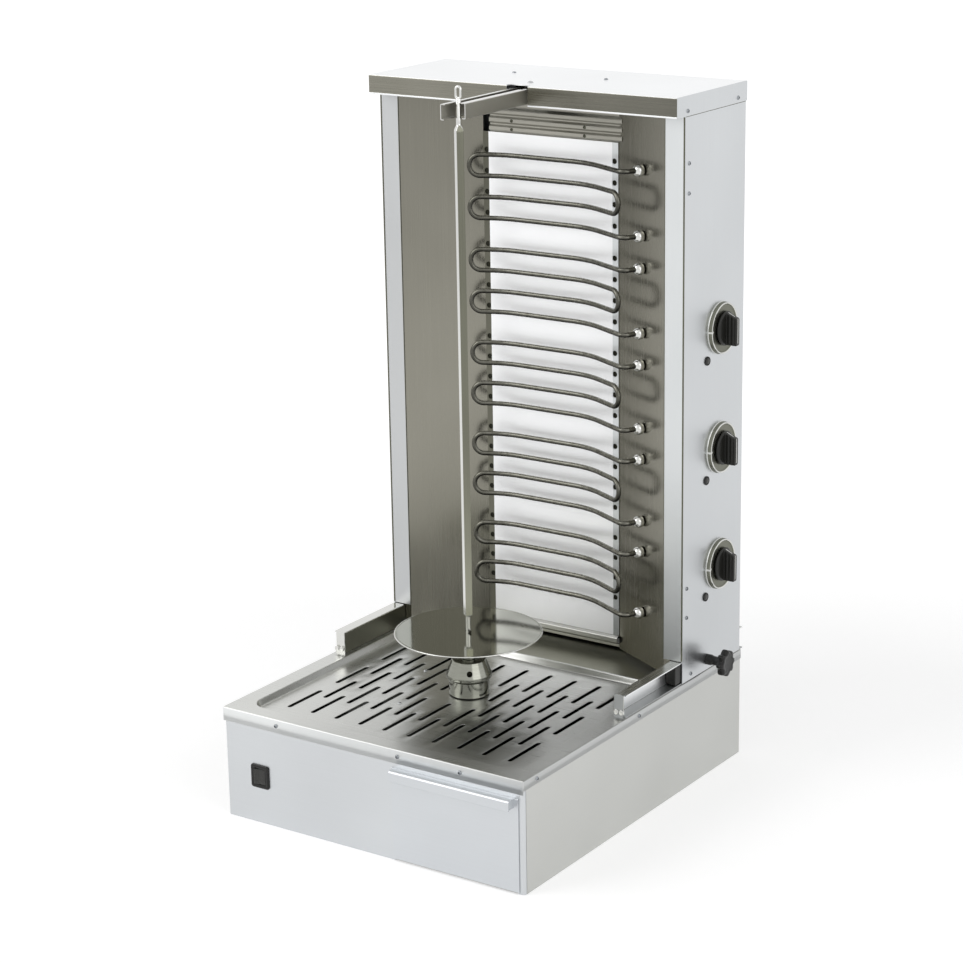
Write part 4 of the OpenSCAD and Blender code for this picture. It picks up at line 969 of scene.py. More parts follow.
def shaft_cell(x, low):
    """A cell with the round hole for the motor shaft: each edge point joins the hole on its own bearing."""
    edge = cell_edge(x, low)
    bearing = np.arctan2(edge[:, 1], edge[:, 0])
    toward = np.column_stack([np.cos(bearing), np.sin(bearing)])
    wide = SHAFT_RING_R * toward
    wide[:, 0] = np.clip(wide[:, 0], x - COLUMN / 2 + 0.8, x + COLUMN / 2 - 0.8)
    return as_part(np.stack([at_height(ring, FLOOR_Z) for ring in (edge, wide, SHAFT_HOLE_R * toward)]),
                   wrap_cols=True)


print("a slotted cell has", len(slotted_cell(0.0, 0.0)[1]), "faces")

# %% [markdown]
# ## Laying out the cells
# The slots are staggered: every other column starts half a cell further back and holds one cell fewer, and
# a plain half cell fills each of its ends. The deck could be an array of one copied cell, but a loop can
# choose the kind of each cell, and the cells still merge into one sheet along their shared points.

# %% Lay out the cells of the deck
COLUMNS_HALF = 9
FIELD_ROWS = 6
ROW_START = -206.0
FIELD_FRONT = ROW_START - SLOT_MARGIN
NEAR_HUB = 40.0
deck_parts = []
for column in range(-COLUMNS_HALF, COLUMNS_HALF + 1):
    x = column * COLUMN
    staggered = column % 2 == 0
    for low in FIELD_FRONT + ROW * staggered + CELL * np.arange(2 if staggered else 3):
        start = low + SLOT_MARGIN
        near_hub = abs(x) < NEAR_HUB and start < NEAR_HUB and start + SLOT_LONG > -NEAR_HUB
        if near_hub and column == 0:
            deck_parts.append(shaft_cell(x, low))
        elif near_hub:
            deck_parts.append(plain_cell(x, low, 2))
        else:
            deck_parts.append(slotted_cell(x, low))
    if staggered:
        deck_parts += [plain_cell(x, FIELD_FRONT + ROW * row, 1) for row in (0, FIELD_ROWS - 1)]
print("deck cells:", len(deck_parts))

# %% [markdown]
# ## The deck's outer rings
# Outside the slots the deck goes on as rings, through the pressed wall and the rim to the skirt. The slotted
# field has square corners and the rings have round ones. A fan of triangles could join them, but it would
# show in the gloss. So each side of a ring gives a few of its points to the arcs at its ends, every ring has
# as many points as the edge of the field, and they all join in plain quads.

# %% Outlines of the wall and the rim
FRONT_Y = -280.0
BACK_Y = 390.0
BASE_HALF = 290.0
FIELD_HALF = (COLUMNS_HALF + 0.5) * COLUMN
FIELD_BACK = FIELD_FRONT + FIELD_ROWS * ROW
RECESS_HALF = 259.0
RECESS_FRONT = -250.0
RECESS_BACK = 175.0
RECESS_R = 28.0
ACROSS_COUNT = (2 * COLUMNS_HALF + 1) * STEP_ACROSS
ALONG_COUNT = round(FIELD_ROWS * ROW / STEP_ALONG)
ARC_SHARE = 6
FOLD = 1.8


def side_points(length, radius, count):
    """Distance along a side and distance in from it: its first and last few points take half of an arc."""
    quarter = np.linspace(math.pi / 4, 0, ARC_SHARE + 1)
    arc_along = radius - radius * np.sin(quarter)
    arc_in = radius - radius * np.cos(quarter)
    straight = np.linspace(radius, length - radius, count - 2 * ARC_SHARE + 1)
    along = np.concatenate([arc_along[:-1], straight, length - arc_along[::-1][1:]])
    return along, np.concatenate([arc_in[:-1], 0 * straight, arc_in[::-1][1:]])


def rounded_edge(half, front, rear, radius):
    """A rectangle with round corners, with the same number of points to each side as the slotted field."""
    return round_the_sides(-half, half, front, rear, *side_points(2 * half, radius, ACROSS_COUNT),
                           *side_points(rear - front, radius, ALONG_COUNT))


def recess_edge(grow):
    """The outline of the pressed well, grown outwards."""
    return rounded_edge(RECESS_HALF + grow, RECESS_FRONT - grow, RECESS_BACK + grow, RECESS_R + grow)


def rim_edge(inward):
    """The outline of the deck, drawn inwards."""
    return rounded_edge(BASE_HALF - inward, FRONT_Y + inward, BACK_Y - inward, FOLD)


print("points round the deck:", len(rim_edge(0)))

# %% [markdown]
# ## The deck as one sheet
# The rings are stacked from the slotted field outwards. The wall's height follows t * t * (3 - 2 t), which is
# level at both ends, as a press leaves it. The rim folds down over a quarter circle into the skirt, which is
# deeper at the front. The sheet's thickness could be a second skin drawn by hand, but a Solidify makes it
# from the first.

# %% Make the deck
DECK_Z = 187.0
SKIRT_FRONT = 23.0
SKIRT_SIDE = 16.0
WELL_MOUTH = 186.0
WELL_MOUTH_HALF = 262.0
field_edge = box_edge(-FIELD_HALF, FIELD_HALF, FIELD_FRONT, FIELD_BACK, ACROSS_COUNT, ALONG_COUNT)
rings = [at_height(field_edge, FLOOR_Z), at_height(recess_edge(-9.0), FLOOR_Z)]
rings += [at_height(recess_edge(-6.5 + 7.0 * t), FLOOR_Z + (DECK_Z - FLOOR_Z) * t * t * (3 - 2 * t))
          for t in np.linspace(0, 1, 13)]
rings += [at_height(recess_edge(1.4), DECK_Z), at_height(rim_edge(FOLD + 0.5), DECK_Z)]
rings += [at_height(rim_edge(FOLD * (1 - math.sin(angle))), DECK_Z - FOLD * (1 - math.cos(angle)))
          for angle in np.radians(np.linspace(0, 90, 7))]
outline = rim_edge(0)
skirt = np.where(outline[:, 1] < FRONT_Y + 0.3, SKIRT_FRONT, SKIRT_SIDE)
rings += [at_height(outline, DECK_Z - FOLD - 0.5), np.column_stack([outline, DECK_Z - skirt])]
deck_parts.append(as_part(np.stack(rings), wrap_cols=True))
deck = make_piece("pressed_deck", deck_parts, deck_steel, "base", "steel_deck", "top_deck", crisp=40)
# Painted light: the skirt faces of the one pressed sheet take a lighter finish than its top.
face_where(deck, skirt_steel,
           lambda normal, centre: (centre[2] < DECK_Z - 1) & (abs(normal[2]) < 0.5)
           & ((abs(centre[0]) > BASE_HALF - 2) | (centre[1] < FRONT_Y + 2) | (centre[1] > BACK_Y - 2)))
face_where(deck, shadow_steel,
           lambda normal, centre: (centre[1] > WELL_MOUTH) & (abs(centre[0]) < WELL_MOUTH_HALF)
           & (normal[2] > 0.5))
thickness = deck.modifiers.new("sheet", "SOLIDIFY")
thickness.thickness = SHEET * MM
thickness.offset = -1.0
print("deck faces that look up:", sum(face.normal.z > 0.5 for face in deck.data.polygons))

# %% [markdown]
# ## The grease drawer's front
# The drawer shows only its front: a plain plate with a folded lip to pull by. The lip runs forward, turns
# down and is hemmed back, and its ends are rounded off. Its section is one path, and the depth of the drop
# is a second curve along the length: near each end it follows a quarter circle. A thin cheek closes the
# hollow of the lip at each end.

# %% Make the drawer front
PLATE_LEFT = 45.0
PLATE_RIGHT = 280.0
PLATE_LOW = 3.0
PLATE_TOP = 156.0
PLATE_Y = -280.3
LIP_LEFT = 50.0
LIP_RIGHT = 272.0
LIP_OUT = 15.0
LIP_DROP = 18.0
END_R = 4.0
CHEEK = 1.2
plate = folded_sheet([[PLATE_Y, PLATE_LOW], [PLATE_Y, PLATE_TOP - 0.4], [PLATE_Y + 0.4, PLATE_TOP]], 0.3,
                     -SHEET, "x", PLATE_LEFT, PLATE_RIGHT)
nose = PLATE_Y - LIP_OUT
lip_line = rounded_path([[PLATE_Y + SHEET, PLATE_TOP], [nose, PLATE_TOP], [nose, PLATE_TOP - LIP_DROP],
                         [nose + 4.0, PLATE_TOP - LIP_DROP]], [4.0, 1.8], 10)
loop, lid = sheet_loop(lip_line, SHEET)
bite = END_R * np.linspace(0, 1, 9) ** 2
x = np.concatenate([LIP_LEFT + bite, LIP_RIGHT - bite[::-1]])[:, None]
near_end = np.minimum(np.minimum(x - LIP_LEFT, LIP_RIGHT - x), END_R)
cut = END_R - np.sqrt(END_R ** 2 - (END_R - near_end) ** 2)
height = PLATE_TOP + (loop[:, 1] - PLATE_TOP) * (LIP_DROP - cut) / LIP_DROP
points, faces = as_part(np.stack(np.broadcast_arrays(x, loop[:, 0], height), axis=-1), wrap_cols=True)
lip = (points, np.concatenate([faces, lid, lid + (len(x) - 1) * len(loop)]))
cheek_low = PLATE_TOP - LIP_DROP + 3.0
cheek = rounded_path([[PLATE_Y + 0.2, PLATE_TOP - 0.5], [nose + 0.4, PLATE_TOP - 0.5],
                      [nose + 0.4, cheek_low], [PLATE_Y + 0.2, cheek_low]], [4.0, 6.0], 8)
cheek_middle = np.broadcast_to(cheek.mean(axis=0), cheek.shape)
cheeks = []
for start in (LIP_LEFT + 0.6, LIP_RIGHT - 1.8):
    steps = ((cheek_middle, start), (cheek, start), (cheek, start + CHEEK), (cheek_middle, start + CHEEK))
    cheeks.append(as_part(np.stack([np.insert(ring, 0, at, axis=1) for ring, at in steps]), wrap_cols=True))
make_piece("drawer_plate", [plate, lip, *cheeks], drawer_steel, "drawer", "steel_panel", "drawer_front")

# %% [markdown]
# ## The rails
# The tower slides on two channels that lie open toward the outside, with a plate across each front end and
# two small bolts in it. The bends of the channel are what catch the light, so the channel is folded
# sheet again, and the bolts are turned heads with six flats. In front of the tower the black nose of its
# plastic shoe shows inside each channel.

# %% Make the rails
RAIL_OUT = 288.0
RAIL_IN = 267.0
RAIL_TOP = 225.0
RAIL_Y = 18.0
RAIL_BACK = 397.0
RAIL_T = 2.0
PLATE_WIDE = 17.0
WEB_LOW = DECK_Z + 3.0
rail_path = [[RAIL_OUT, RAIL_TOP], [RAIL_IN, RAIL_TOP], [RAIL_IN, DECK_Z], [RAIL_OUT, DECK_Z]]
rail = folded_sheet(rail_path, 2.6, RAIL_T, "y", RAIL_Y, RAIL_BACK)
end_plate = folded_sheet([[RAIL_IN, RAIL_Y - RAIL_T], [RAIL_IN + PLATE_WIDE, RAIL_Y - RAIL_T]], 0, RAIL_T,
                         "z", DECK_Z, RAIL_TOP)
right_rail = make_piece("right_rail", [rail, end_plate], rail_steel, "base", "steel_bright", "rail_right")
# Painted light: the left rail takes a brighter steel than its mirror image on the right.
left_rail = make_piece("left_rail", [mirrored(rail), mirrored(end_plate)], bright_steel, "base",
                       "steel_bright", "rail_left")
# Painted light: the right rail's front end, bottom and web take lighter finishes than its flanges.
face_where(right_rail, strip_steel, lambda normal, centre: (normal[1] < -FACING) | (centre[2] < WEB_LOW))
face_where(right_rail, white_steel, lambda normal, centre: (abs(normal[0]) > FACING) & (centre[1] > RAIL_Y)
           & (centre[2] > WEB_LOW))
face_where(left_rail, shadow_steel, lambda normal, centre: (normal[0] > FACING) & (centre[1] > RAIL_Y))

# %% [markdown]
# ## Shoe noses and bolts
# A nose is a rounded rectangle carried back along the channel, with a small chamfer at its front. A bolt's
# head comes from one formula: the radius at angle a is half the width over the cosine of a folded into 60
# degrees, which is a hexagon, and a domed top closes it.

# %% Make the shoe noses and the bolts
# The noses' black is the shoes' plastic, and where they reach forward in the channel it also stands in for
# the shadow there: painted shadow.
NOSE_BACK = 191.5
NOSE_FRONT = 172.0
low = DECK_Z + RAIL_T + 0.8
high = RAIL_TOP - RAIL_T - 0.8
inner = RAIL_IN + RAIL_T + 0.6
nose_path = [[inner, low], [RAIL_OUT - 0.4, low], [RAIL_OUT - 0.4, high], [inner, high]]
nose_ring = rounded_path(nose_path + nose_path[:2], 2.5, 5)[1:-7]
nose_middle = np.mean(nose_path, axis=0)
nose_steps = ((0, NOSE_BACK), (1, NOSE_BACK), (1, NOSE_FRONT + 1), (0.92, NOSE_FRONT), (0, NOSE_FRONT))
nose = np.stack([np.insert(nose_middle + share * (nose_ring - nose_middle), 1, depth, axis=1)
                 for share, depth in nose_steps])
make_piece("shoe_noses", on_both_sides(as_part(nose, wrap_cols=True)), black_plastic, "tower",
           "black_plastic")


BOLT_CHAMFER = 0.5


def hex_head(width, height):
    """A six-sided head of a width across its flats, with a chamfer and a slightly domed top."""
    a = full_turn(48)
    flats = width / 2 / np.cos((a + math.pi / 6) % (math.pi / 3) - math.pi / 6)
    even = np.ones(len(a))
    radii = np.stack([0 * a, flats, flats, (width / 2 - BOLT_CHAMFER) * even, width / 4 * even, 0 * a])
    heights = np.array([0, 0, height - BOLT_CHAMFER, height, height + 0.1, height + 0.1])
    return round_part(radii, a, heights[:, None])


bolt = hex_head(8.6, 3.4)
bolts = [set_on(bolt, (side * (RAIL_IN + place), RAIL_Y - RAIL_T, DECK_Z + 9.0), (0, -1, 0))
         for side in (-1, 1) for place in (5.0, 14.5)]
make_piece("rail_bolt_heads", bolts, bright_steel, "base", "zinc", "rail_bolts")

# %% [markdown]
# ## Screw heads
# The sheets are held with small pan-head screws. A head is a dome with a cross pressed into it, and both
# come from one height function on a polar grid: height = dome(r) - depth where the point is within the
# arm of a cross. The same head is then set at every place, in one mesh for each group.

# %% One cross-recessed head
CROSS_DEEP = 1.1


def cross_head(diameter, height):
    """A dome of a diameter and height with a cross sunk into its top, closed below by a flat."""
    r = np.linspace(0, 1, 14)[:, None] ** 0.9
    a = full_turn(48)
    x = abs(r * np.cos(a)) / 2
    y = abs(r * np.sin(a)) / 2
    in_cross = ((x < 0.3) & (y < 0.09)) | ((y < 0.3) & (x < 0.09))
    top = height * np.sqrt(np.clip(1 - r ** 2, 0, 1)) - CROSS_DEEP * in_cross
    return round_part(np.vstack([r, [0]]) * diameter / 2, a, np.vstack([top, 0 * a]))


def make_heads(name, places, material, body, node, diameter=7.0, height=2.2):
    """One mesh of heads, one at each (foot, axis) of a list."""
    head = cross_head(diameter, height)
    make_piece(name, [set_on(head, foot, axis) for foot, axis in places], material, body, "zinc", node)


print("a head has", len(cross_head(7.0, 2.2)[1]), "faces")

# %% [markdown]
# ## Where the screws are
# Their places follow the sheets they hold: shares of the base's width and depth for the deck, shares of the
# tower's height for its sides. Shares keep each row in step with its sheet. A head on a level sheet leans
# back by a hair, so that its cross has a direction to start from.

# %% Set the screw heads
SIDES = (-1, 1)
BASE_WIDE = 2 * BASE_HALF
BASE_DEEP = BACK_Y - FRONT_Y
TOWER_FRONT = 191.0
FORWARD = (0, -1, 0)
UPWARD = (0, 0.001, 1)


def on_sides(half, spots):
    """The same (y, z) spots on the left and on the right, a half width from the middle."""
    return [((side * half, y, z), (side, 0, 0)) for y, z in spots for side in SIDES]


front_z = DECK_Z - SKIRT_FRONT / 2
deck_places = [((share * BASE_WIDE, FRONT_Y, front_z), FORWARD) for share in (-0.3125, 0.098, 0.3)]
deck_places += on_sides(BASE_HALF, [(FRONT_Y + share * BASE_DEEP, DECK_Z - SKIRT_SIDE / 2)
                                    for share in (0.055, 0.5, 0.93)])
panel_spots = [(TOWER_FRONT + 13.0, share * COVER_TOP) for share in (0.9077, 0.8667, 0.304, 0.2605)]
panel_spots += [(TOWER_FRONT + 28.0, DECK_Z + 11.0)]
cover_places = on_sides(COVER_HALF, [(COVER_FRONT + share * (COVER_BACK - COVER_FRONT), COVER_TOP - 24.0)
                                     for share in (0.15, 0.867)])
cover_places += [((side * 88.0, TOWER_FRONT + 97.0, COVER_TOP), UPWARD) for side in SIDES]
header_places = [((side * 70.0, rib_y, BACK_HIGH + (k + 0.5) * RIDGE), FORWARD)
                 for side in SIDES for k in (0, 1)]
guide_places = [((across * BASE_WIDE, along * BASE_DEEP, FLOOR_Z), UPWARD)
                for across, along in ((-0.207, 0.067), (-0.122, -0.146))]
make_heads("deck_screw_heads", deck_places, screw_steel, "base", "deck_screws")
make_heads("side_screw_heads", on_sides(TOWER_HALF, panel_spots), screw_steel, "tower", "side_screws")
make_heads("cover_screw_heads", cover_places, screw_steel, "tower", "cover_screws")
make_heads("header_screw_heads", header_places, olive_steel, "tower", "header_screws", 5.6, 1.2)
make_heads("guide_screw_heads", guide_places, zinc, "base", "guide_screws")

# %% [markdown]
# ## The regulator knobs
# Each heating zone has a black knob with a grip bar across it. The knob's skirt is thin, and its bar is a
# stack of rounded rectangles: going out from the skirt the upper end slopes back, and the sides wave in and
# out, which makes the ribs that fingers hold. A painted line runs over the sloping end and along the bar.

# %% Make the knobs
KNOB_Y = 309.0
KNOB_HEIGHTS = {"top": 761.0, "middle": 562.0, "bottom": 363.0}
BEZEL_T = 8.0
KNOB_FACE = BEZEL_T + 0.3
GRIP_OUT = 18.5
GRIP_FOOT = KNOB_FACE + 4.0
GRIP_TOP = GRIP_FOOT + GRIP_OUT
GRIP_WIDE = 12.0
GRIP_REACH = 26.6
GRIP_SLOPE = 8.0
GRIP_R = 2.2
RIBS = 3
RIB_DEEP = 0.9
TO_RIGHT = (1, 0, 0)


def rounded_rectangle(wide, up, down, radius, steps):
    """The outline of a flat rounded rectangle that reaches up and down by two lengths of their own."""
    t = np.linspace(0, math.pi / 2, steps)
    corners = [(1, up - radius, 0), (-1, up - radius, 1), (-1, radius - down, 2), (1, radius - down, 3)]
    return np.concatenate([np.column_stack([side * (wide / 2 - radius) + radius * np.cos(t + k * math.pi / 2),
                                            middle + radius * np.sin(t + k * math.pi / 2)])
                           for side, middle, k in corners])


def grip_bar():
    """Rings from the skirt outwards. With h from 0 to 1 the width is wide - deep (1 - cos 2 pi n h) / 2 and
    the upper end is at reach - slope h; close to h = 1 all sides draw in to a soft edge."""
    h = np.linspace(0, 1, 28)
    edge = RIB_DEEP * np.clip((h - 0.93) / 0.07, 0, 1) ** 2
    wide = GRIP_WIDE - RIB_DEEP * (1 - np.cos(2 * math.pi * RIBS * h)) / 2 - 2 * edge
    up = GRIP_REACH - GRIP_SLOPE * h - edge
    rings = [at_height(rounded_rectangle(w, p, GRIP_REACH - q, GRIP_R, 6), z)
             for w, p, q, z in zip(wide, up, edge, np.linspace(GRIP_FOOT - 1, GRIP_TOP, len(h)))]
    poles = [np.broadcast_to([0.0, 0.0, z], rings[0].shape) for z in (GRIP_FOOT - 1, GRIP_TOP)]
    return as_part(np.stack([poles[0], *rings, poles[1]]), wrap_cols=True)


def on_dials(part, height_off=0.0, y=KNOB_Y):
    """Copies of a part drawn round +Z, set on the tower's right side at each knob's height."""
    return [set_on(part, (TOWER_HALF, y, height + height_off), TO_RIGHT) for height in KNOB_HEIGHTS.values()]


skirt_part = turned([[0, KNOB_FACE], [27.2, KNOB_FACE], [28, KNOB_FACE + 0.8], [28, KNOB_FACE + 1.8],
                     [26.8, KNOB_FACE + 3.0], [24, GRIP_FOOT], [0, GRIP_FOOT]], 64)
mark_out = GRIP_TOP - 0.25
mark_path = [[GRIP_REACH - 0.3, GRIP_FOOT + 0.8], [GRIP_REACH - GRIP_SLOPE - 0.9, mark_out],
             [4.0 - GRIP_REACH, mark_out]]
pointer = folded_sheet(mark_path, 1.2, -0.5, "x", -0.7, 0.7)
for name, skirt_on, bar_on, mark_on in zip(KNOB_HEIGHTS, on_dials(skirt_part), on_dials(grip_bar()),
                                           on_dials(pointer)):
    make_piece(f"{name}_knob", [skirt_on, bar_on], black_plastic, f"{name}_regulator", "black_plastic",
               f"knob_{name}", crisp=45)
    make_piece(f"{name}_pointer", [mark_on], white_mark, f"{name}_regulator", "gloss_black")

# %% [markdown]
# ## Dial rings and pilot lamps
# Behind each knob is a dial: a shallow turned dish with a bright rim and one painted tick for nought. Below
# it sits a pilot lamp with a dark lens in a plastic collar. All of them are lathe shapes, and the tick is a
# strip that follows the dish's section, so it lies on the metal and doesn't float over it.

# %% Make the dial rings and the lamps
LAMP_Y = 265.0
LAMP_DROP = 46.0
LENS_R = 5.2
dish = turned([[0, 0], [43, 0], [43, 0.8], [42.6, 1.2], [41.8, BEZEL_T - 0.9], [41.2, BEZEL_T],
               [39.9, BEZEL_T], [39.2, BEZEL_T - 0.7], [38.2, BEZEL_T - 2.0], [0, BEZEL_T - 2.6]], 96)
tick = folded_sheet([[-42.75, 1.4], [-41.9, BEZEL_T - 0.8], [-41.0, BEZEL_T + 0.1], [-39.9, BEZEL_T + 0.1],
                     [-38.1, BEZEL_T - 1.85], [-30.0, BEZEL_T - 2.3]], 0.4, -0.3, "y", -1.6, 1.6)
dials = make_piece("dial_rings", on_dials(dish), dial_steel, "tower", "steel_bright", "knob_bezels")
face_where(dials, bright_steel, lambda normal, centre: (centre[0] > TOWER_HALF + BEZEL_T - 0.95)
           | (centre[0] < TOWER_HALF + 1.2))
make_piece("dial_marks", on_dials(tick), white_mark, "tower", "white_back")
lens_angle = np.radians(np.linspace(0, 90, 8))
dome = np.column_stack([LENS_R * np.cos(lens_angle), 1.3 + 1.6 * np.sin(lens_angle)]).tolist()
collar = turned([[0, 0], [7.5, 0], [7.5, 1.4], [6.9, 2.3], [6.0, 2.4], [5.3, 1.4], [0, 1.4]])
make_piece("pilot_lamp_rims", on_dials(collar, -LAMP_DROP, LAMP_Y), gloss_black, "tower", "gloss_black",
           "pilot_lamps")
make_piece("pilot_lamp_lenses", on_dials(turned([[0, 1], [LENS_R, 1], *dome]), -LAMP_DROP, LAMP_Y),
           lamp_lens, "tower", "gloss_black")

# %% [markdown]
# ## The clamp knob
# The clamp that fixes the tower on its rail is a star knob: its radius waves in and out eight times round,
# and its edge rounds over toward the face. Each row of the grid has a height, a share of the full radius,
# and a share of the wave, which dies out toward the middle.

# %% Make the star knob
CLAMP_FOOT = (TOWER_HALF, 273.0, 206.0)
CLAMP_R = 23.0
WAVE_DEEP = 4.4
LOBES = 8
a = full_turn(192)
star_rows = np.array([[28.0, 0.0, 0.0], [28.0, 0.86, 0.8], [29.0, 0.95, 0.9], [31.0, 1.0, 1.0],
                      [36.0, 1.0, 1.0], [38.5, 0.98, 1.0], [40.2, 0.92, 0.9], [41.0, 0.78, 0.7],
                      [40.4, 0.62, 0.25], [40.2, 0.5, 0.0], [40.2, 0.0, 0.0]])
height, share, waving = (star_rows[:, [k]] for k in range(3))
star = round_part(CLAMP_R * share - WAVE_DEEP * waving * (1 - np.cos(LOBES * a)) / 2, a, height)
neck = turned([[0, 0.4], [9, 0.4], [9, 8], [7.6, 12], [7.6, 22], [10.5, 27.4], [13, 28.4], [0, 28.4]], 48)
stud = turned([[0, -20], [3.6, -20], [4, -19.6], [4, 1], [0, 1]], 24)
make_piece("star_knob", [set_on(part, CLAMP_FOOT, TO_RIGHT) for part in (star, neck, stud)], gloss_black,
           "clamp", "black_plastic", "clamp_knob", crisp=40)

# %% [markdown]
# ## The switch
# The mains switch is a rocker in a raised black frame. The frame is a rounded rectangle carried through a
# small profile, and the rocker's face is two planes that meet at a shallow angle. At rest its left end
# stands out; the joint tips it to the other side about the upright line where the planes meet.

# %% Make the switch
SWITCH_X = -218.0
SWITCH_Z = 81.0
PANEL_Y = -278.5
TILT = math.radians(7)
ROCKER_HALF = 10.9
ROCKER_TALL = 12.9
ROCKER_OUT = 2.9
ROCKER_IN = -3.5
U_COUNT = 23
V_COUNT = 15


def facing_front(ring, out):
    """A flat outline stood up in front of the panel by a distance."""
    return np.column_stack([SWITCH_X + ring[:, 0], np.full(len(ring), PANEL_Y - out), SWITCH_Z + ring[:, 1]])


frame_steps = [(36, 40, 4.5, 0.0), (36, 40, 4.5, 1.6), (35, 39, 4.2, 2.6), (33.4, 37.4, 3.6, 3.0),
               (25.4, 29.4, 1.6, 3.0), (23.4, 27.4, 1.0, 2.4), (22.8, 26.8, 0.8, -2.0),
               (22.8, 26.8, 0.8, -11.9), (28.0, 32.0, 0.8, -11.9), (28.0, 32.0, 0.8, 0.0)]
surround = np.stack([facing_front(rounded_rectangle(w, h / 2, h / 2, r, 8), out)
                     for w, h, r, out in frame_steps])
make_piece("switch_surround", [as_part(surround, wrap_rows=True, wrap_cols=True)], gloss_black, "base",
           "gloss_black", "switch_frame", crisp=40)
u = np.linspace(-1, 1, U_COUNT)[:, None]
v = np.linspace(-1, 1, V_COUNT)
bulge = ROCKER_OUT + ROCKER_HALF * abs(u) * math.tan(TILT) - 0.9 * abs(v) ** 6 - 0.5 * abs(u) ** 8
lean = np.array([[math.cos(TILT), 0, -math.sin(TILT)], [0, 1, 0], [math.sin(TILT), 0, math.cos(TILT)]])


def rocker_face(out):
    """Points across, up and out of the rocker, leaned over and moved to their place in the panel."""
    p = np.stack(np.broadcast_arrays(ROCKER_HALF * u, ROCKER_TALL * v, out), axis=-1) @ lean
    return np.stack([SWITCH_X + p[..., 0], PANEL_Y - 0.2 - p[..., 2], SWITCH_Z + p[..., 1]], axis=-1)


def edge_of(grid):
    """The points round the edge of a grid, once."""
    return np.concatenate([grid[:, 0], grid[-1, 1:], grid[-2::-1, -1], grid[0, -2:0:-1]])


front_face = rocker_face(bulge)
back_face = rocker_face(ROCKER_IN)
band = as_part(np.stack([edge_of(front_face), edge_of(back_face)]), wrap_cols=True)
make_piece("rocker", [as_part(front_face), as_part(back_face), band], rocker_black, "rocker", "gloss_black",
           "rocker_switch", crisp=40)

# %% [markdown]
# ## Finishes for the parts that keep their solids
# Flat panels, the back frame and the works under the deck are right as they are, so they keep their solids
# and only get a finish. Each is named once in a table, so a missing one is easy to see.

# %% Give the kept solids their finishes
kept = {
    # painted shade on the base's sides and back
    side_steel: "base_shell bottom_plate",
    panel_steel: "front_panel",
    # painted shade: these parts sit where shade falls and are near black
    shade_dark_steel: "drip_guide motor_bracket hub_set_screws stop_pin tower_floor arm_guide drawer_pan",
    zinc: "drawer_runners arm_lock_screw",
    motor_paint: "gear_motor regulators",
    ceramic: "terminal_block",
    black_plastic: "cable_gland slide_shoes",
    turned_steel: "motor_shaft",
    tower_side_steel: "side_panel_left side_panel_right",
    # painted shade on the left front column
    left_column_shade_steel: "front_column_left",
    strip_steel: "back_panel front_column_right support_strips",
    back_white: "back_reflector",
}
for material, nodes in kept.items():
    for node in nodes.split():
        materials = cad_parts[node].data.materials
        materials.clear()
        materials.append(material)
# Painted shade on the left support strips.
face_where(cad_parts["support_strips"], left_strip_shade_steel, lambda normal, centre: centre[0] < 0)
print("solids that keep their shape:", sum(len(nodes.split()) for nodes in kept.values()))

# %% [markdown]
# ## The floor
# The photograph shows the grill on plain white. The floor here is pale and matt and keeps a soft shadow. For
# what the camera and the metal see, it gives off a little light of its own, so that it comes out white; for
# what lights the object it is plain. Far from the object it gives the camera a little more, so that it ends
# in the same white as the world.

# %% Make the floor
FLOOR_HALF = 12.0
FLOOR_DROP = -0.0004
FLOOR_GLOW = 0.42
FAR_GLOW = 0.25


def seen_directly(tree):
    """One where a ray comes straight from the camera, a mirror or a glass, and nought elsewhere."""
    path = added(tree, "LightPath").outputs
    first = added(tree, "Math", "MAXIMUM", in0=path["Is Camera Ray"], in1=path["Is Glossy Ray"])
    both = added(tree, "Math", "MAXIMUM", in0=first.outputs[0], in1=path["Is Transmission Ray"])
    return both.outputs[0]


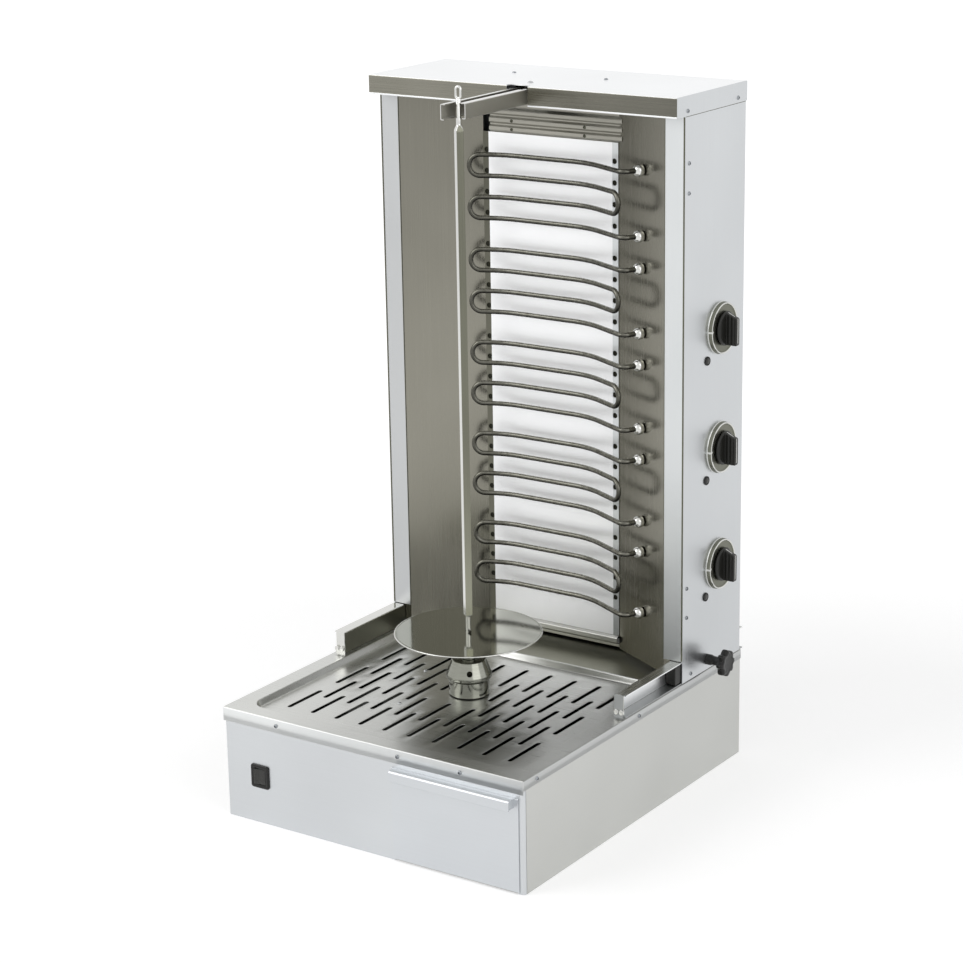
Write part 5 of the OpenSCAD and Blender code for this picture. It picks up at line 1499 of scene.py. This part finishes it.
floor_mesh = bpy.data.meshes.new("floor")
corners = [(x * FLOOR_HALF, y * FLOOR_HALF, FLOOR_DROP) for x, y in ((-1, -1), (1, -1), (1, 1), (-1, 1))]
floor_mesh.from_pydata(corners, [], [(0, 1, 2, 3)])
floor = new_object("floor", floor_mesh)
floor_material, tree, shader = shaded("pale_floor", Roughness=0.9, Base_Color=(0.75, 0.75, 0.75, 1),
                                      Specular_IOR_Level=0.0, Emission_Color=(1, 1, 1, 1))
away = added(tree, "VectorMath", "LENGTH", in0=place_on(tree)).outputs["Value"]
lift = added(tree, "Math", "MULTIPLY", in0=ranged(tree, away, 0.0, FAR_GLOW, 1.0, 3.0),
             in1=added(tree, "LightPath").outputs["Is Camera Ray"])
glow = ranged(tree, seen_directly(tree), 0.0, FLOOR_GLOW, 0.0, 1.0)
shown = added(tree, "Math", "ADD", in0=lift.outputs[0], in1=glow)
tree.links.new(shown.outputs[0], shader.inputs["Emission Strength"])
floor_mesh.materials.append(floor_material)
print("floor of", 2 * FLOOR_HALF, "metres")

# %% [markdown]
# ## World and lamps
# Satin steel shows what is round it, so a plain white world gives it even, pale tones. Where the world is
# seen it is full white; where it only lights the object it is a little dimmer, so pale sheets don't clip.
# Two large soft lamps shape the light: one from the front left, a weaker one from the right.

# %% Make the world and the lamps
WORLD_LIGHT = 0.62
LAMP_SIZE = 3.0
MIDDLE = (0.0, 0.05, 0.5)
world = bpy.data.worlds.new("white_studio")
bpy.context.scene.world = world
world.use_nodes = True
tree = world.node_tree
light_side = tree.nodes["Background"]
light_side.inputs["Color"].default_value = (1, 1, 1, 1)
light_side.inputs["Strength"].default_value = WORLD_LIGHT
seen_side = added(tree, "Background", Color=(1, 1, 1, 1), Strength=1.0)
choice = added(tree, "MixShader", in0=seen_directly(tree), in1=light_side.outputs[0],
               in2=seen_side.outputs[0])
tree.links.new(choice.outputs[0], tree.nodes["World Output"].inputs["Surface"])


def soft_lamp(name, place, aim, power):
    """A large square lamp that looks at a point; a lamp shines along its own -Z."""
    data = bpy.data.lights.new(name, "AREA")
    data.size = LAMP_SIZE
    data.energy = power
    to_aim = unit(np.array(aim) - np.array(place))
    level = unit(np.cross(to_aim, (0, 0, 1)))
    stand_at(new_object(name, data), place, level, np.cross(level, to_aim), -to_aim)


soft_lamp("key_lamp", (-2.6, -3.2, 3.4), MIDDLE, 70.0)
soft_lamp("fill_lamp", (3.6, -1.0, 2.2), MIDDLE, 30.0)
